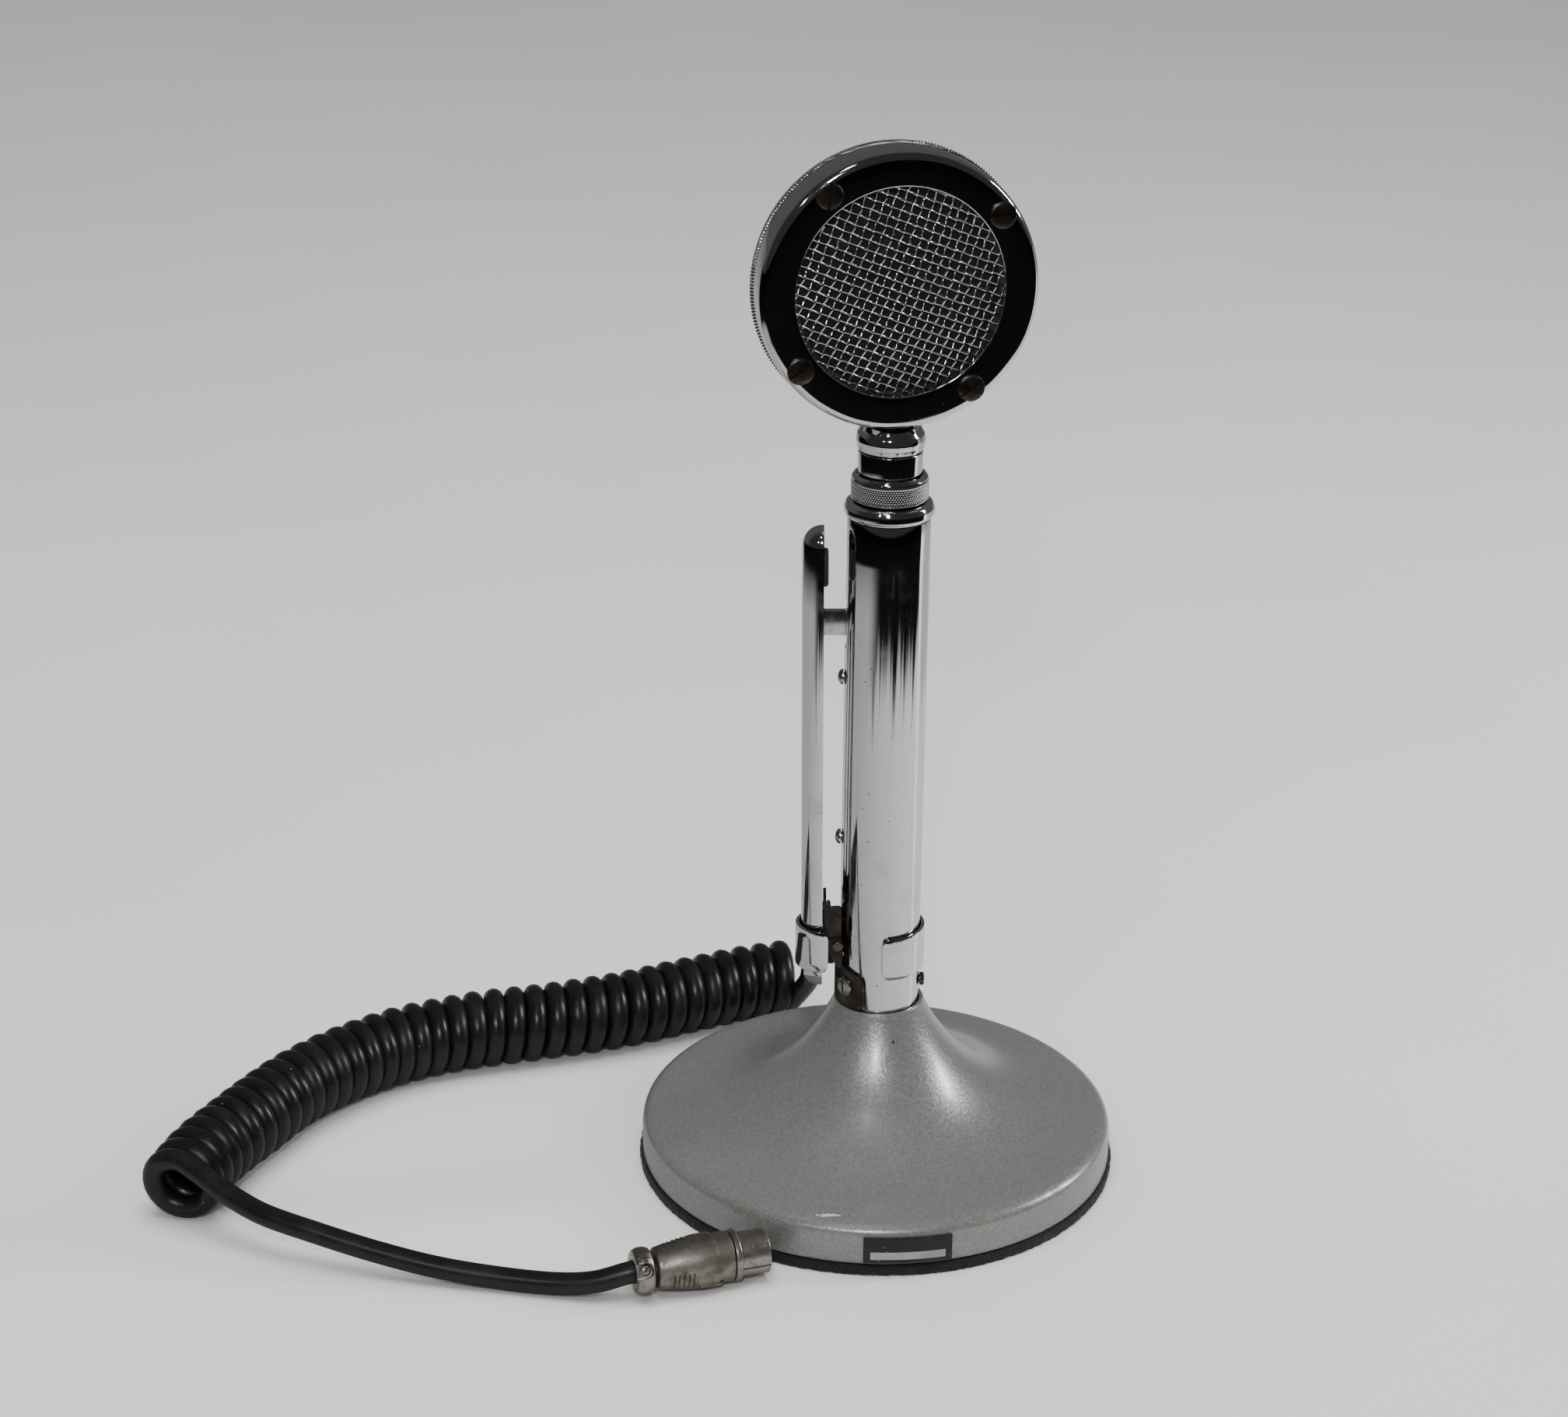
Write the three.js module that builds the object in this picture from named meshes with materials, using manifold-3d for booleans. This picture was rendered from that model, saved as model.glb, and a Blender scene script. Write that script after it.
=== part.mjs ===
// Desk microphone: a round chrome head on a grip-to-talk stand, with a curly cord and its plug.
// Millimetres. +Z is up, the origin is the centre of the felt's underside, and the front looks
// along -Y. The grip lever is on the -X side, and the cord leaves the tube at the back, +Y.

import * as THREE from 'three';
import { mergeVertices } from 'three/addons/utils/BufferGeometryUtils.js';
import Module from 'manifold-3d';

const wasm = await Module();
wasm.setup();

// ---- driving dimensions -------------------------------------------------------------------

const GAP = 0.3;                     // air kept between neighbours that would touch

const FELT = { radius: 76.9, thickness: 3.2 };
const BASE = { radius: 75.9, neckRadius: 14.2, neckTop: 57.4, bore: 13.0, seat: 20, soleZ: 3.5 };
const LABEL = { azimuth: 6.4, width: 27.5, bottom: 4.6, top: 13.4, thickness: 0.6 };

const TUBE = { radius: 12.7, wall: 1.2, bottom: 22, top: 220.4 };
const BLADE_SLOT = { bottom: 177.5, top: 193.5, halfWidth: 2.6 };
const TUBE_SCREW_Z = [167.5, 113.3];
const CORD_EXIT = { z: 64.5, holeRadius: 4.4 };

const BRACKET = {
  bottom: 58.2, backTop: 69, frontTop: 72.6, innerRadius: 13.0, thickness: 1.2, spread: 68,
};
const BRACKET_EAR = { inner: 6.7, outer: 7.8, frontFoot: 70, backFoot: 62 };
const CLEARANCE_HOLE_RADIUS = 1.6;
const SIDE_SCREW_Z = 63.4;
const BRACKET_SCREW = { front: 220, back: 125, z: 65.2 };
const PIVOT = { x: -13.5, z: 78.6, pinRadius: 1.1 };

const LEVER = { axisX: -19.0, rx: 6.1, ry: 6.3, wall: 1.2, bottom: 61.6, top: 216.8, lean: -0.5 };
const LEVER_OPEN_X = -18.4;          // the plane of the channel's open edges
const YOKE = { bottom: 71.5, top: 92.3, sheet: 1.0, halfWidth: 6.2, toeX: -12.3, farFall: 7 };
const BUMPER = { face: -17.0, bottom: 198.4, top: 208.5, halfWidth: 4.4 };
const BLADE = { tip: -8.6, root: -23.2, bottom: 181.4, top: 189.8, thickness: 1.6 };

const SLIDE = { bottom: 69.4, height: 14.2, sheet: 1.2, tubeRadius: 13.0, gripX: -17.6, gripRadius: 8.1 };

const HEAD_YAW = 12.7;               // degrees the head is turned from the front
const HEAD_Z = 292;                  // height of the head's centre
const BEZEL = { radius: 42.2, opening: 31.7, front: 8.6, back: -3.5, wall: 1.2 };
const BEZEL_SCREW = { circle: 37.3, headRadius: 4.05, firstAngle: 36.3, count: 4 };
const RIM = { radius: 42.7, inner: 40.8, front: -3.8, thickness: 1.5, teeth: 80, depth: 0.7 };

const CORD = { radius: 3.5, coilRadius: 13.0 };

const LEAD_ROUTE = [
  [0, 14.9, 64.5], [-0.3, 20, 64.6], [-3, 28, 65], [-9, 38, 64], [-14.5, 49, 59], [-18, 60, 50],
  [-20, 70, 38], [-20.6, 79.5, 25.5], [-19.6, 88, 15.8], [-18.2, 95.5, 11],
];
const COIL_ROUTE = [
  [-28, 99.3, 13.1], [-43, 94.2, 13.1], [-59.5, 86.5, 13.1], [-86, 73, 13.1], [-112.5, 63.6, 13.1],
  [-139, 55.5, 13.1], [-165, 41.8, 13.1], [-188.5, 18, 13.1], [-204.5, -11, 13.1],
  [-213.5, -30, 13.1], [-218.5, -44, 13.1],
];
const TAIL_ROUTE = [
  [-212.5, -50.5, 21.5], [-206.5, -56, 20.2], [-200.2, -59.6, 18], [-189.8, -65.8, 15], [-174.7, -72.5, 11.5],
  [-155.2, -77.8, 8], [-135.7, -82.3, 5.3], [-116.6, -85.6, 3.9], [-99, -88, 3.9], [-87, -89.4, 5.6],
  [-77.6, -89.9, 8.5],
];

const PLUG = { rear: [-76.3, -89.5, 8.5], bearing: 18.8 };
const CLAMP = { length: 7.0, radius: 7.2, bore: 3.9, screwAzimuth: -112 };
const SHELL = { from: 7.3, shoulder: 9.2, belly: 21, to: 31.6, neck: 5.2, rear: 7.0, bellyRadius: 8.35,
  front: 8.0, wall: 1.3 };
const RING = { from: 31.9, to: 34.3, radius: 8.15 };
const BARREL = { from: 34.6, to: 43.3, radius: 6.95, wall: 0.9, keyAzimuth: -80 };
const LATCH = { from: 20.5, to: 27.5, halfWidth: 2.2, azimuth: -40 };

// ---- materials ----------------------------------------------------------------------------

const finish = (color, roughness, metalness) =>
  () => new THREE.MeshStandardMaterial({ color, roughness, metalness });

const CHROME = finish(0xd9dadb, 0.08, 1);
const PAINT = finish(0x9b9a97, 0.42, 0.55);
const FELT_CLOTH = finish(0x17161a, 0.95, 0);
const BRASS = finish(0xa98a4c, 0.35, 1);
const OLD_BRASS = finish(0x4a3d33, 0.5, 0.7);
const STEEL = finish(0x9a9a98, 0.35, 1);
const ALUMINIUM = finish(0xb9babc, 0.35, 1);
const BAKELITE = finish(0x24180f, 0.35, 0);
const RUBBER = finish(0x1b1a19, 0.6, 0);
const CORD_JACKET = finish(0x1e1e20, 0.4, 0);
const NICKEL = finish(0xa39c90, 0.3, 1);
const LABEL_FOIL = finish(0x26262a, 0.35, 0.4);

// ---- shape helpers ------------------------------------------------------------------------

const rad = THREE.MathUtils.degToRad;

/** Solid of revolution about Z from [radius, height] points that run anticlockwise. */
function lathe(profile, segments = 28) {
  const onAxis = profile[0][0] === 0 && profile.at(-1)[0] === 0;
  const points = onAxis ? profile : [...profile, profile[0]];
  const geometry = new THREE.LatheGeometry(points.map(([r, h]) => new THREE.Vector2(r, h)), segments);
  return geometry.rotateX(Math.PI / 2);
}

const disc = (radius, from, to, segments = 24) =>
  lathe([[0, from], [radius, from], [radius, to], [0, to]], segments);

const washer = (inner, outer, from, to, segments = 28) =>
  lathe([[inner, from], [outer, from], [outer, to], [inner, to]], segments);

const box = ([x0, y0, z0], [x1, y1, z1]) =>
  new THREE.BoxGeometry(x1 - x0, y1 - y0, z1 - z0).translate((x0 + x1) / 2, (y0 + y1) / 2, (z0 + z1) / 2);

/** Flat outline of [x, y] points, thick from one height to the other. */
function plate(outline, from, to) {
  const shape = new THREE.Shape(outline.map(([x, y]) => new THREE.Vector2(x, y)));
  return new THREE.ExtrudeGeometry(shape, { depth: to - from, bevelEnabled: false }).translate(0, 0, from);
}

/** The [x, y] point at a radius and an angle in degrees. */
const polar = (radius, angle) => [radius * Math.cos(rad(angle)), radius * Math.sin(rad(angle))];

/** Points on a circular arc, angles in degrees. */
function arc(cx, cy, radius, from, to, steps) {
  return Array.from({ length: steps + 1 }, (_, i) => {
    const [x, y] = polar(radius, from + (to - from) * i / steps);
    return [cx + x, cy + y];
  });
}

/** Turns a shape built along Z so that it points along +X. */
const alongX = (geometry) => geometry.rotateY(Math.PI / 2);

/** Turns a shape built along Z so that it points along +Y. */
const alongY = (geometry) => geometry.rotateX(-Math.PI / 2);

/** Moves a shape built along Z to the tube's side: it then points outwards at that azimuth. */
function outwards(geometry, azimuth, z) {
  return alongX(geometry).rotateZ(rad(azimuth)).translate(0, 0, z);
}

/** Round solid that follows a list of route points. */
function routed(route, radius, steps, sides) {
  const curve = new THREE.CatmullRomCurve3(route.map((p) => new THREE.Vector3(...p)), false, 'centripetal');
  const ring = arc(0, 0, radius, 0, 360, sides).slice(0, sides);
  const section = new THREE.Shape(ring.map((p) => new THREE.Vector2(...p)));
  return new THREE.ExtrudeGeometry(section, { steps, extrudePath: curve, bevelEnabled: false });
}

function toManifold(geometry) {
  const bare = geometry.clone();
  bare.deleteAttribute('normal');
  bare.deleteAttribute('uv');
  const merged = mergeVertices(bare, 1e-4);
  return new wasm.Manifold(new wasm.Mesh({
    numProp: 3,
    vertProperties: new Float32Array(merged.attributes.position.array),
    triVerts: new Uint32Array(merged.index.array),
  }));
}

function toGeometry(solid) {
  const mesh = solid.getMesh();
  const geometry = new THREE.BufferGeometry();
  geometry.setAttribute('position', new THREE.BufferAttribute(new Float32Array(mesh.vertProperties), 3));
  geometry.setIndex(new THREE.BufferAttribute(new Uint32Array(mesh.triVerts), 1));
  geometry.computeVertexNormals();
  return geometry;
}

function combine(method, geometry, others) {
  return toGeometry(others.reduce((solid, other) => solid[method](toManifold(other)), toManifold(geometry)));
}

const cut = (geometry, ...cutters) => combine('subtract', geometry, cutters);
const join = (geometry, ...others) => combine('add', geometry, others);
const common = (geometry, ...others) => combine('intersect', geometry, others);

function piece(group, name, geometry, material) {
  const mesh = new THREE.Mesh(geometry, material());
  mesh.name = name;
  group.add(mesh);
}

/** Screw along +Z with its head's underside at 0: a low head, a slot across it and a shank. */
function slottedScrew({ head, height, shank, length, slotAngle = 0, crown = 0.3 }) {
  const body = lathe([
    [0, -length], [shank, -length], [shank, 0], [head, 0], [head, height - crown], [head * 0.8, height],
    [0, height],
  ], 16);
  const slot = box([-head - 1, -0.4, height - 0.7], [head + 1, 0.4, height + 1]).rotateZ(rad(slotAngle));
  return cut(body, slot);
}

// ---- base ---------------------------------------------------------------------------------

function buildBase(group) {
  const { radius, neckRadius, neckTop, bore, seat, soleZ } = BASE;

  piece(group, 'felt_pad', lathe([
    [0, 0], [FELT.radius - 0.6, 0], [FELT.radius, 0.7], [FELT.radius, FELT.thickness - 0.6],
    [FELT.radius - 0.5, FELT.thickness], [0, FELT.thickness],
  ], 52), FELT_CLOTH);

  const trumpet = [
    [radius - 0.8, soleZ], [radius, soleZ + 0.9], [radius, 12.6], [75.2, 14.7], [73.4, 16.2], [70.5, 16.9],
    [60, 18.6], [50, 21.4], [40.4, 26], [32.3, 31.9], [26, 38.2], [21.2, 44.5], [17.6, 50.2], [15, 55.2],
    [neckRadius, neckTop - 0.5], [neckRadius - 0.4, neckTop],
  ];
  const underside = [
    [bore, neckTop], [bore, seat], [9.5, seat], [9.5, 16], [24, 16], [24, 5.6], [68, 5.6], [68, soleZ],
  ];
  piece(group, 'base_casting', lathe([...trumpet, ...underside], 52), PAINT);
  piece(group, 'base_plate', washer(9, 67.6, soleZ, 5.2, 40), STEEL);

  const flangedHead = join(plate(arc(0, 0, 9, 0, 300, 5), 8, 14), disc(17, 13.8, 15.7, 36));
  piece(group, 'base_bolt', join(flangedHead, disc(4, 15, 32)), STEEL);
  piece(group, 'tube_foot_plug', washer(4.3, 11.2, 22.3, 34, 24), STEEL);

  const half = THREE.MathUtils.radToDeg(LABEL.width / 2 / radius);
  const middle = LABEL.azimuth - 90;
  const back = arc(0, 0, radius + 0.25, middle - half, middle + half, 10);
  const face = arc(0, 0, radius + 0.25 + LABEL.thickness, middle + half, middle - half, 10);
  piece(group, 'label_plate', plate([...back, ...face], LABEL.bottom, LABEL.top), LABEL_FOIL);
}

// ---- tube, its top collar and the switch inside -------------------------------------------

function buildTube(group) {
  const inner = TUBE.radius - TUBE.wall;
  const { halfWidth: slotHalf, bottom: slotBottom, top: slotTop } = BLADE_SLOT;
  const slot = box([-15, -slotHalf, slotBottom], [-9, slotHalf, slotTop]);
  const holes = [
    ...TUBE_SCREW_Z.map((z) => outwards(disc(1.7, 9, 15, 12), 180, z)),
    outwards(disc(CORD_EXIT.holeRadius, 9, 15), 90, CORD_EXIT.z),
    outwards(disc(CLEARANCE_HOLE_RADIUS, 9, 15, 16), 0, SIDE_SCREW_Z),
    ...[BRACKET_SCREW.front, BRACKET_SCREW.back].map((azimuth) =>
      outwards(disc(CLEARANCE_HOLE_RADIUS, 9, 15, 16), azimuth, BRACKET_SCREW.z)),
  ];
  const wall = washer(inner, TUBE.radius, TUBE.bottom, TUBE.top, 40);
  piece(group, 'stand_tube', cut(wall, slot, ...holes), CHROME);

  piece(group, 'tube_collar', lathe([
    [6.6, 212], [11.2, 212], [11.2, 220.7], [12.9, 220.7], [13.7, 222], [13.7, 223.6], [13.2, 225],
    [11.8, 225.7], [7.9, 225.7], [7.9, 229], [6.6, 229],
  ]), CHROME);
  piece(group, 'socket_insert', washer(1.7, 6.3, 214, 228.8, 24), BAKELITE);
  piece(group, 'socket_contact', lathe([
    [0, 212], [1.4, 212], [1.4, 228.4], [0.8, 228.9], [0, 228.9],
  ], 16), BRASS);

  const strip = box([-10.8, -3.2, 106], [-9.2, 3.2, 175]);
  const strapHoles = TUBE_SCREW_Z.map((z) => outwards(disc(1.6, 7, 12, 16), 180, z));
  piece(group, 'switch_strip', cut(strip, ...strapHoles), BAKELITE);
  piece(group, 'contact_block', box([-8.5, -3.2, 106], [-2.6, 3.2, 119]), BAKELITE);
  piece(group, 'fixed_contact', box([-3.6, -2.2, 119.3], [-3.2, 2.2, 190]), BRASS);
  TUBE_SCREW_Z.forEach((z, i) => {
    const screw = lathe([
      [0, 8.8], [1.4, 8.8], [1.4, 13.0], [2.45, 13.0], [2.45, 13.4], [2.1, 14.2], [1.2, 14.7], [0, 14.8],
    ], 14);
    piece(group, `tube_screw_${i + 1}`, outwards(screw, 180, z), STEEL);
  });
  const sideScrew = slottedScrew({ head: 2.1, height: 1.6, shank: 1.3, length: 3.6 }).translate(0, 0, 13);
  piece(group, 'side_screw', outwards(sideScrew, 0, SIDE_SCREW_Z), STEEL);

  const bush = lathe([
    [2.9, 10.4], [4.1, 10.4], [4.1, 13.0], [4.6, 13.0], [4.6, 14.0], [4.1, 14.6], [2.9, 14.6],
  ], 20);
  piece(group, 'cord_grommet', outwards(bush, 90, CORD_EXIT.z), RUBBER);
}

function buildMovingContact(group) {
  piece(group, 'moving_contact', box([-8.1, -2.2, 119.4], [-7.7, 2.2, 191]), BRASS);
}

// ---- hinge bracket on the tube ------------------------------------------------------------

function buildBracket(group) {
  const { bottom, backTop, frontTop, innerRadius, thickness, spread } = BRACKET;
  const outer = innerRadius + thickness;
  const sector = (from, to, steps, low, high) => plate([
    ...arc(0, 0, outer, from, to, steps), ...arc(0, 0, innerRadius, to, from, steps),
  ], low, high);
  const strap = join(
    sector(180 - spread, 180 + spread, 14, bottom, backTop),
    sector(180, 180 + spread, 7, backTop - 1, frontTop));
  const screwHoles = [BRACKET_SCREW.front, BRACKET_SCREW.back].map((azimuth) =>
    outwards(disc(CLEARANCE_HOLE_RADIUS, 11, 16, 16), azimuth, BRACKET_SCREW.z));
  const { inner: earInner, outer: earOuter, frontFoot, backFoot } = BRACKET_EAR;
  const ears = [[-1, frontFoot], [1, backFoot]].map(([side, foot]) => {
    const outline = [
      [-11.8, foot], [-11.8, 78.6], [-12.4, 80.6], [-14.6, 80.6], [-17, 80], [-17, 77], [-13.8, 71.5],
      [-13, foot],
    ];
    const ear = alongY(plate(outline.map(([x, z]) => [x, -z]), earInner, earOuter));
    const placed = side > 0 ? ear : ear.translate(0, -earInner - earOuter, 0);
    return cut(placed, alongY(disc(PIVOT.pinRadius + 0.25, -12, 12, 16)).translate(PIVOT.x, 0, PIVOT.z));
  });
  piece(group, 'hinge_bracket', cut(join(strap, ...ears), ...screwHoles), OLD_BRASS);

  ['front', 'back'].forEach((where) => {
    const screw = slottedScrew({ head: 3.3, height: 1.3, shank: 1.3, length: 5.2, slotAngle: 8 });
    screw.translate(0, 0, outer + GAP);
    piece(group, `bracket_screw_${where}`, outwards(screw, BRACKET_SCREW[where], BRACKET_SCREW.z), STEEL);
  });
}

// ---- grip lever ---------------------------------------------------------------------------

/** Bar with an oval section and round ends, on the lever's own axis. */
function ovalBar(inset) {
  const { axisX, rx, ry, bottom, top } = LEVER;
  const radius = ry - inset;
  const low = bottom + inset;
  const high = top - inset;
  const profile = [
    ...arc(0, low + radius, radius, -90, 0, 6),
    ...arc(0, high - radius, radius, 0, 90, 6),
  ].map(([r, h], i, all) => (i === 0 || i === all.length - 1 ? [0, h] : [r, h]));
  return lathe(profile, 32).scale((rx - inset) / radius, 1, 1).translate(axisX, 0, 0);
}

function buildLever(group) {
  const { wall, bottom, top } = LEVER;
  const beyondOpening = box([LEVER_OPEN_X, -20, bottom - 5], [10, 20, top + 5]);
  piece(group, 'grip_lever', cut(ovalBar(0), ovalBar(wall), beyondOpening), CHROME);

  const block = box([-30, -BUMPER.halfWidth, BUMPER.bottom], [-18.2, BUMPER.halfWidth, BUMPER.top]);
  const pad = box([-18.4, -BUMPER.halfWidth, BUMPER.bottom], [BUMPER.face, BUMPER.halfWidth, BUMPER.top]);
  piece(group, 'lever_bumper', join(common(block, ovalBar(wall + GAP)), pad), RUBBER);

  piece(group, 'link_blade', box(
    [BLADE.root, -BLADE.thickness / 2, BLADE.bottom], [BLADE.tip, BLADE.thickness / 2, BLADE.top]), STEEL);

  const { bottom: low, top: high, sheet, halfWidth, toeX, farFall } = YOKE;
  const webX = LEVER_OPEN_X + GAP;
  const web = box([webX, -halfWidth, low], [webX + sheet, halfWidth, high]);
  const sides = [[-1, high - 0.6], [1, high - farFall]].map(([side, crest]) => {
    const outline = [[webX, low], [toeX - 2.5, low], [toeX, low + 3.5], [toeX, crest], [webX, crest]];
    const ear = alongY(plate(outline.map(([x, z]) => [x, -z]), halfWidth - sheet, halfWidth));
    const placed = side > 0 ? ear : ear.translate(0, sheet - 2 * halfWidth, 0);
    return cut(placed, alongY(disc(PIVOT.pinRadius + 0.25, -12, 12, 16)).translate(PIVOT.x, 0, PIVOT.z));
  });
  const rivetHeights = [89.3, 81.9];
  const rivetHoles = rivetHeights.map((z) => outwards(disc(1.35, 15, 20, 16), 180, z));
  piece(group, 'lever_yoke', cut(join(web, ...sides), ...rivetHoles), OLD_BRASS);
  rivetHeights.forEach((z, i) => {
    const rivet = lathe([
      [0, -0.1], [0.9, -0.1], [1.8, 0.6], [1.9, 1.1], [1.1, 1.1], [1.1, 5.0], [0, 5.0],
    ], 16);
    rivet.translate(0, 0, -webX - sheet - 1.4);
    piece(group, `yoke_rivet_${i + 1}`, outwards(rivet, 180, z), STEEL);
  });
}

function buildHingePins(group) {
  [['front', Math.PI], ['back', 0]].forEach(([where, turn]) => {
    const pin = alongY(lathe([[0, 4.8], [1.1, 4.8], [1.1, 8.1], [1.9, 8.1], [1.7, 8.7], [0, 8.8]], 16));
    piece(group, `hinge_pin_${where}`, pin.rotateZ(turn).translate(PIVOT.x, 0, PIVOT.z), STEEL);
  });
}

// ---- lock slide ---------------------------------------------------------------------------

function buildSlide(group) {
  const { bottom, height, sheet, tubeRadius, gripX, gripRadius } = SLIDE;
  // The two round ends are joined at the back by a straight wall that touches both circles.
  const tangent = THREE.MathUtils.radToDeg(Math.acos((tubeRadius - gripRadius) / -gripX));
  const wall = (grow) => [
    ...arc(0, 0, tubeRadius + grow, -88, 180 - tangent, 24),
    ...arc(gripX, 0, gripRadius + grow, 180 - tangent, 277, 16),
  ];
  const outline = [...wall(sheet), ...wall(0).reverse()];
  piece(group, 'lock_slide', plate(outline, bottom, bottom + height), CHROME);
}

// ---- neck and head ------------------------------------------------------------------------

function buildCouplingRing(group) {
  piece(group, 'coupling_ring', lathe([
    [8.3, 226.1], [11.5, 226.1], [11.9, 226.6], [11.9, 232.4], [11.4, 233.6], [10.5, 234.3], [10.0, 234.1],
    [10.0, 232], [10.7, 232], [10.7, 229.1], [8.3, 229.1],
  ], 40), CHROME);
}

function buildNeck(group) {
  piece(group, 'neck_plug', lathe([
    [4.1, 229.4], [10.3, 229.4], [10.3, 231.7], [8.6, 231.8], [8.6, 236.5], [4.1, 236.5],
  ], 28), BRASS);
  piece(group, 'plug_insulator', washer(1.5, 3.8, 229.7, 236.2, 24), BAKELITE);
  piece(group, 'plug_contact', disc(1.2, 229.2, 236.6, 16), BRASS);
  piece(group, 'neck_sleeve', lathe([
    [8.9, 232.1], [9.3, 232.1], [9.3, 234.5], [9.8, 234.9], [9.8, 241.4], [3.6, 241.4], [3.6, 239.6],
    [8.9, 239.6],
  ]), CHROME);
  piece(group, 'head_stud', lathe([
    [0, 237], [6, 237], [6, 239.3], [3.2, 239.3], [3.2, 255], [0, 255],
  ], 24), STEEL);

  const ferrule = lathe([
    [3.6, 241.7], [9.7, 241.7], [10.1, 242.2], [10.3, 243.4], [10.5, 245.2], [10.2, 246.8], [9.3, 248.2],
    [8.0, 249.6], [7.4, 251], [3.6, 251],
  ]);
  const headSeat = alongY(disc(RIM.radius + GAP, -20, 20, 56)).translate(0, 0, HEAD_Z);
  piece(group, 'neck_ferrule', cut(ferrule, headSeat), CHROME);

  const nut = cut(plate(arc(0, 0, 5.6, 0, 300, 5), 251.7, 254.4), disc(3.5, 250, 256));
  piece(group, 'head_nut', nut, STEEL);
}

/** The head in its own frame: +Z looks out of the front, +Y is up and the centre is the origin. */
function buildHead(group) {
  const { radius, opening, front, back, wall } = BEZEL;
  const studHole = alongY(disc(3.6, -50, -35, 20));
  const angles = Array.from({ length: BEZEL_SCREW.count }, (_, i) => BEZEL_SCREW.firstAngle + 90 * i);
  const onCircle = (geometry, angle) => geometry.translate(...polar(BEZEL_SCREW.circle, angle), 0);
  const screwHoles = () => angles.map((angle) => onCircle(disc(1.8, -10, 20, 16), angle));

  const bezel = lathe([
    [radius - wall, back], [radius, back], [radius, front - 1.8], [radius - 0.5, front - 0.7],
    [radius - 1.6, front], [opening + 0.5, front], [opening, front - 0.4], [opening, front - wall],
    [radius - wall, front - wall],
  ], 56);
  piece(group, 'head_bezel', cut(bezel, studHole, ...screwHoles()), CHROME);

  const slotAngles = [10, 90, 25, 38];
  angles.forEach((angle, i) => {
    const screw = slottedScrew({
      head: BEZEL_SCREW.headRadius, height: 1.0, shank: 1.5, length: 9.5, crown: 0.25,
      slotAngle: slotAngles[i],
    });
    piece(group, `bezel_screw_${i + 1}`, onCircle(screw.translate(0, 0, front + GAP), angle), CHROME);
  });

  const domeRadius = (opening ** 2 + 3.6 ** 2) / (2 * 3.6);
  const dome = (r, lift) => [r, 7.1 + lift + Math.sqrt(domeRadius ** 2 - r ** 2) - (domeRadius - 3.6)];
  const rings = [0, 8, 16, 24, 31.2];
  piece(group, 'grille_mesh', lathe([
    ...rings.map((r) => dome(r, -1.1)), [33.6, 5.9], [33.6, 6.9], ...rings.map((r) => dome(r, 0)).reverse(),
  ], 40), CHROME);
  piece(group, 'grille_gasket', washer(30.6, 34.2, 4.4, 5.6, 36), RUBBER);

  const retainer = washer(24.6, 40.6, 1.0, 2.4, 48);
  const nutRoom = alongY(disc(7.6, -45, -32));
  piece(group, 'cartridge_retainer', cut(retainer, nutRoom, ...screwHoles()), ALUMINIUM);
  piece(group, 'cartridge', lathe([
    [0, -7], [22.4, -7], [24, -5.8], [24, 3.4], [22.6, 3.4], [21.4, 2.5], [8, 0.9], [0, 0.6],
  ]), ALUMINIUM);

  const tooth = 360 / RIM.teeth;
  const crest = Array.from({ length: RIM.teeth * 2 }, (_, i) =>
    polar(RIM.radius - (i % 2) * RIM.depth, i * tooth / 2));
  const star = plate(crest, RIM.front - RIM.thickness, RIM.front);
  piece(group, 'serrated_rim', cut(star, disc(RIM.inner, RIM.front - 9, RIM.front + 9, 64)), CHROME);

  piece(group, 'rear_case', lathe([
    [0, -23.2], [14.6, -23.2], [16.5, -22.4], [24.5, -20.8], [31.5, -18], [36.5, -14.6], [39.2, -10.8],
    [40.4, -8.2], [42, -7.2], [42, -5.6], [39.6, -5.6], [37.9, -10.4], [34.5, -14.6], [28, -18.2],
    [14.2, -21.8], [0, -22],
  ], 48), CHROME);
  piece(group, 'rear_medallion', lathe([
    [0, -24.4], [12.8, -24.4], [13.6, -24], [13.6, -23.5], [0, -23.5],
  ], 40), CHROME);
}

// ---- cord and plug ------------------------------------------------------------------------

function buildCord(group) {
  piece(group, 'cord_lead', routed(LEAD_ROUTE, CORD.radius, 20, 10), CORD_JACKET);
  piece(group, 'cord_coil', routed(COIL_ROUTE, CORD.coilRadius, 22, 14), CORD_JACKET);
  piece(group, 'cord_tail', routed(TAIL_ROUTE, CORD.radius, 24, 10), CORD_JACKET);
}

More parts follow.
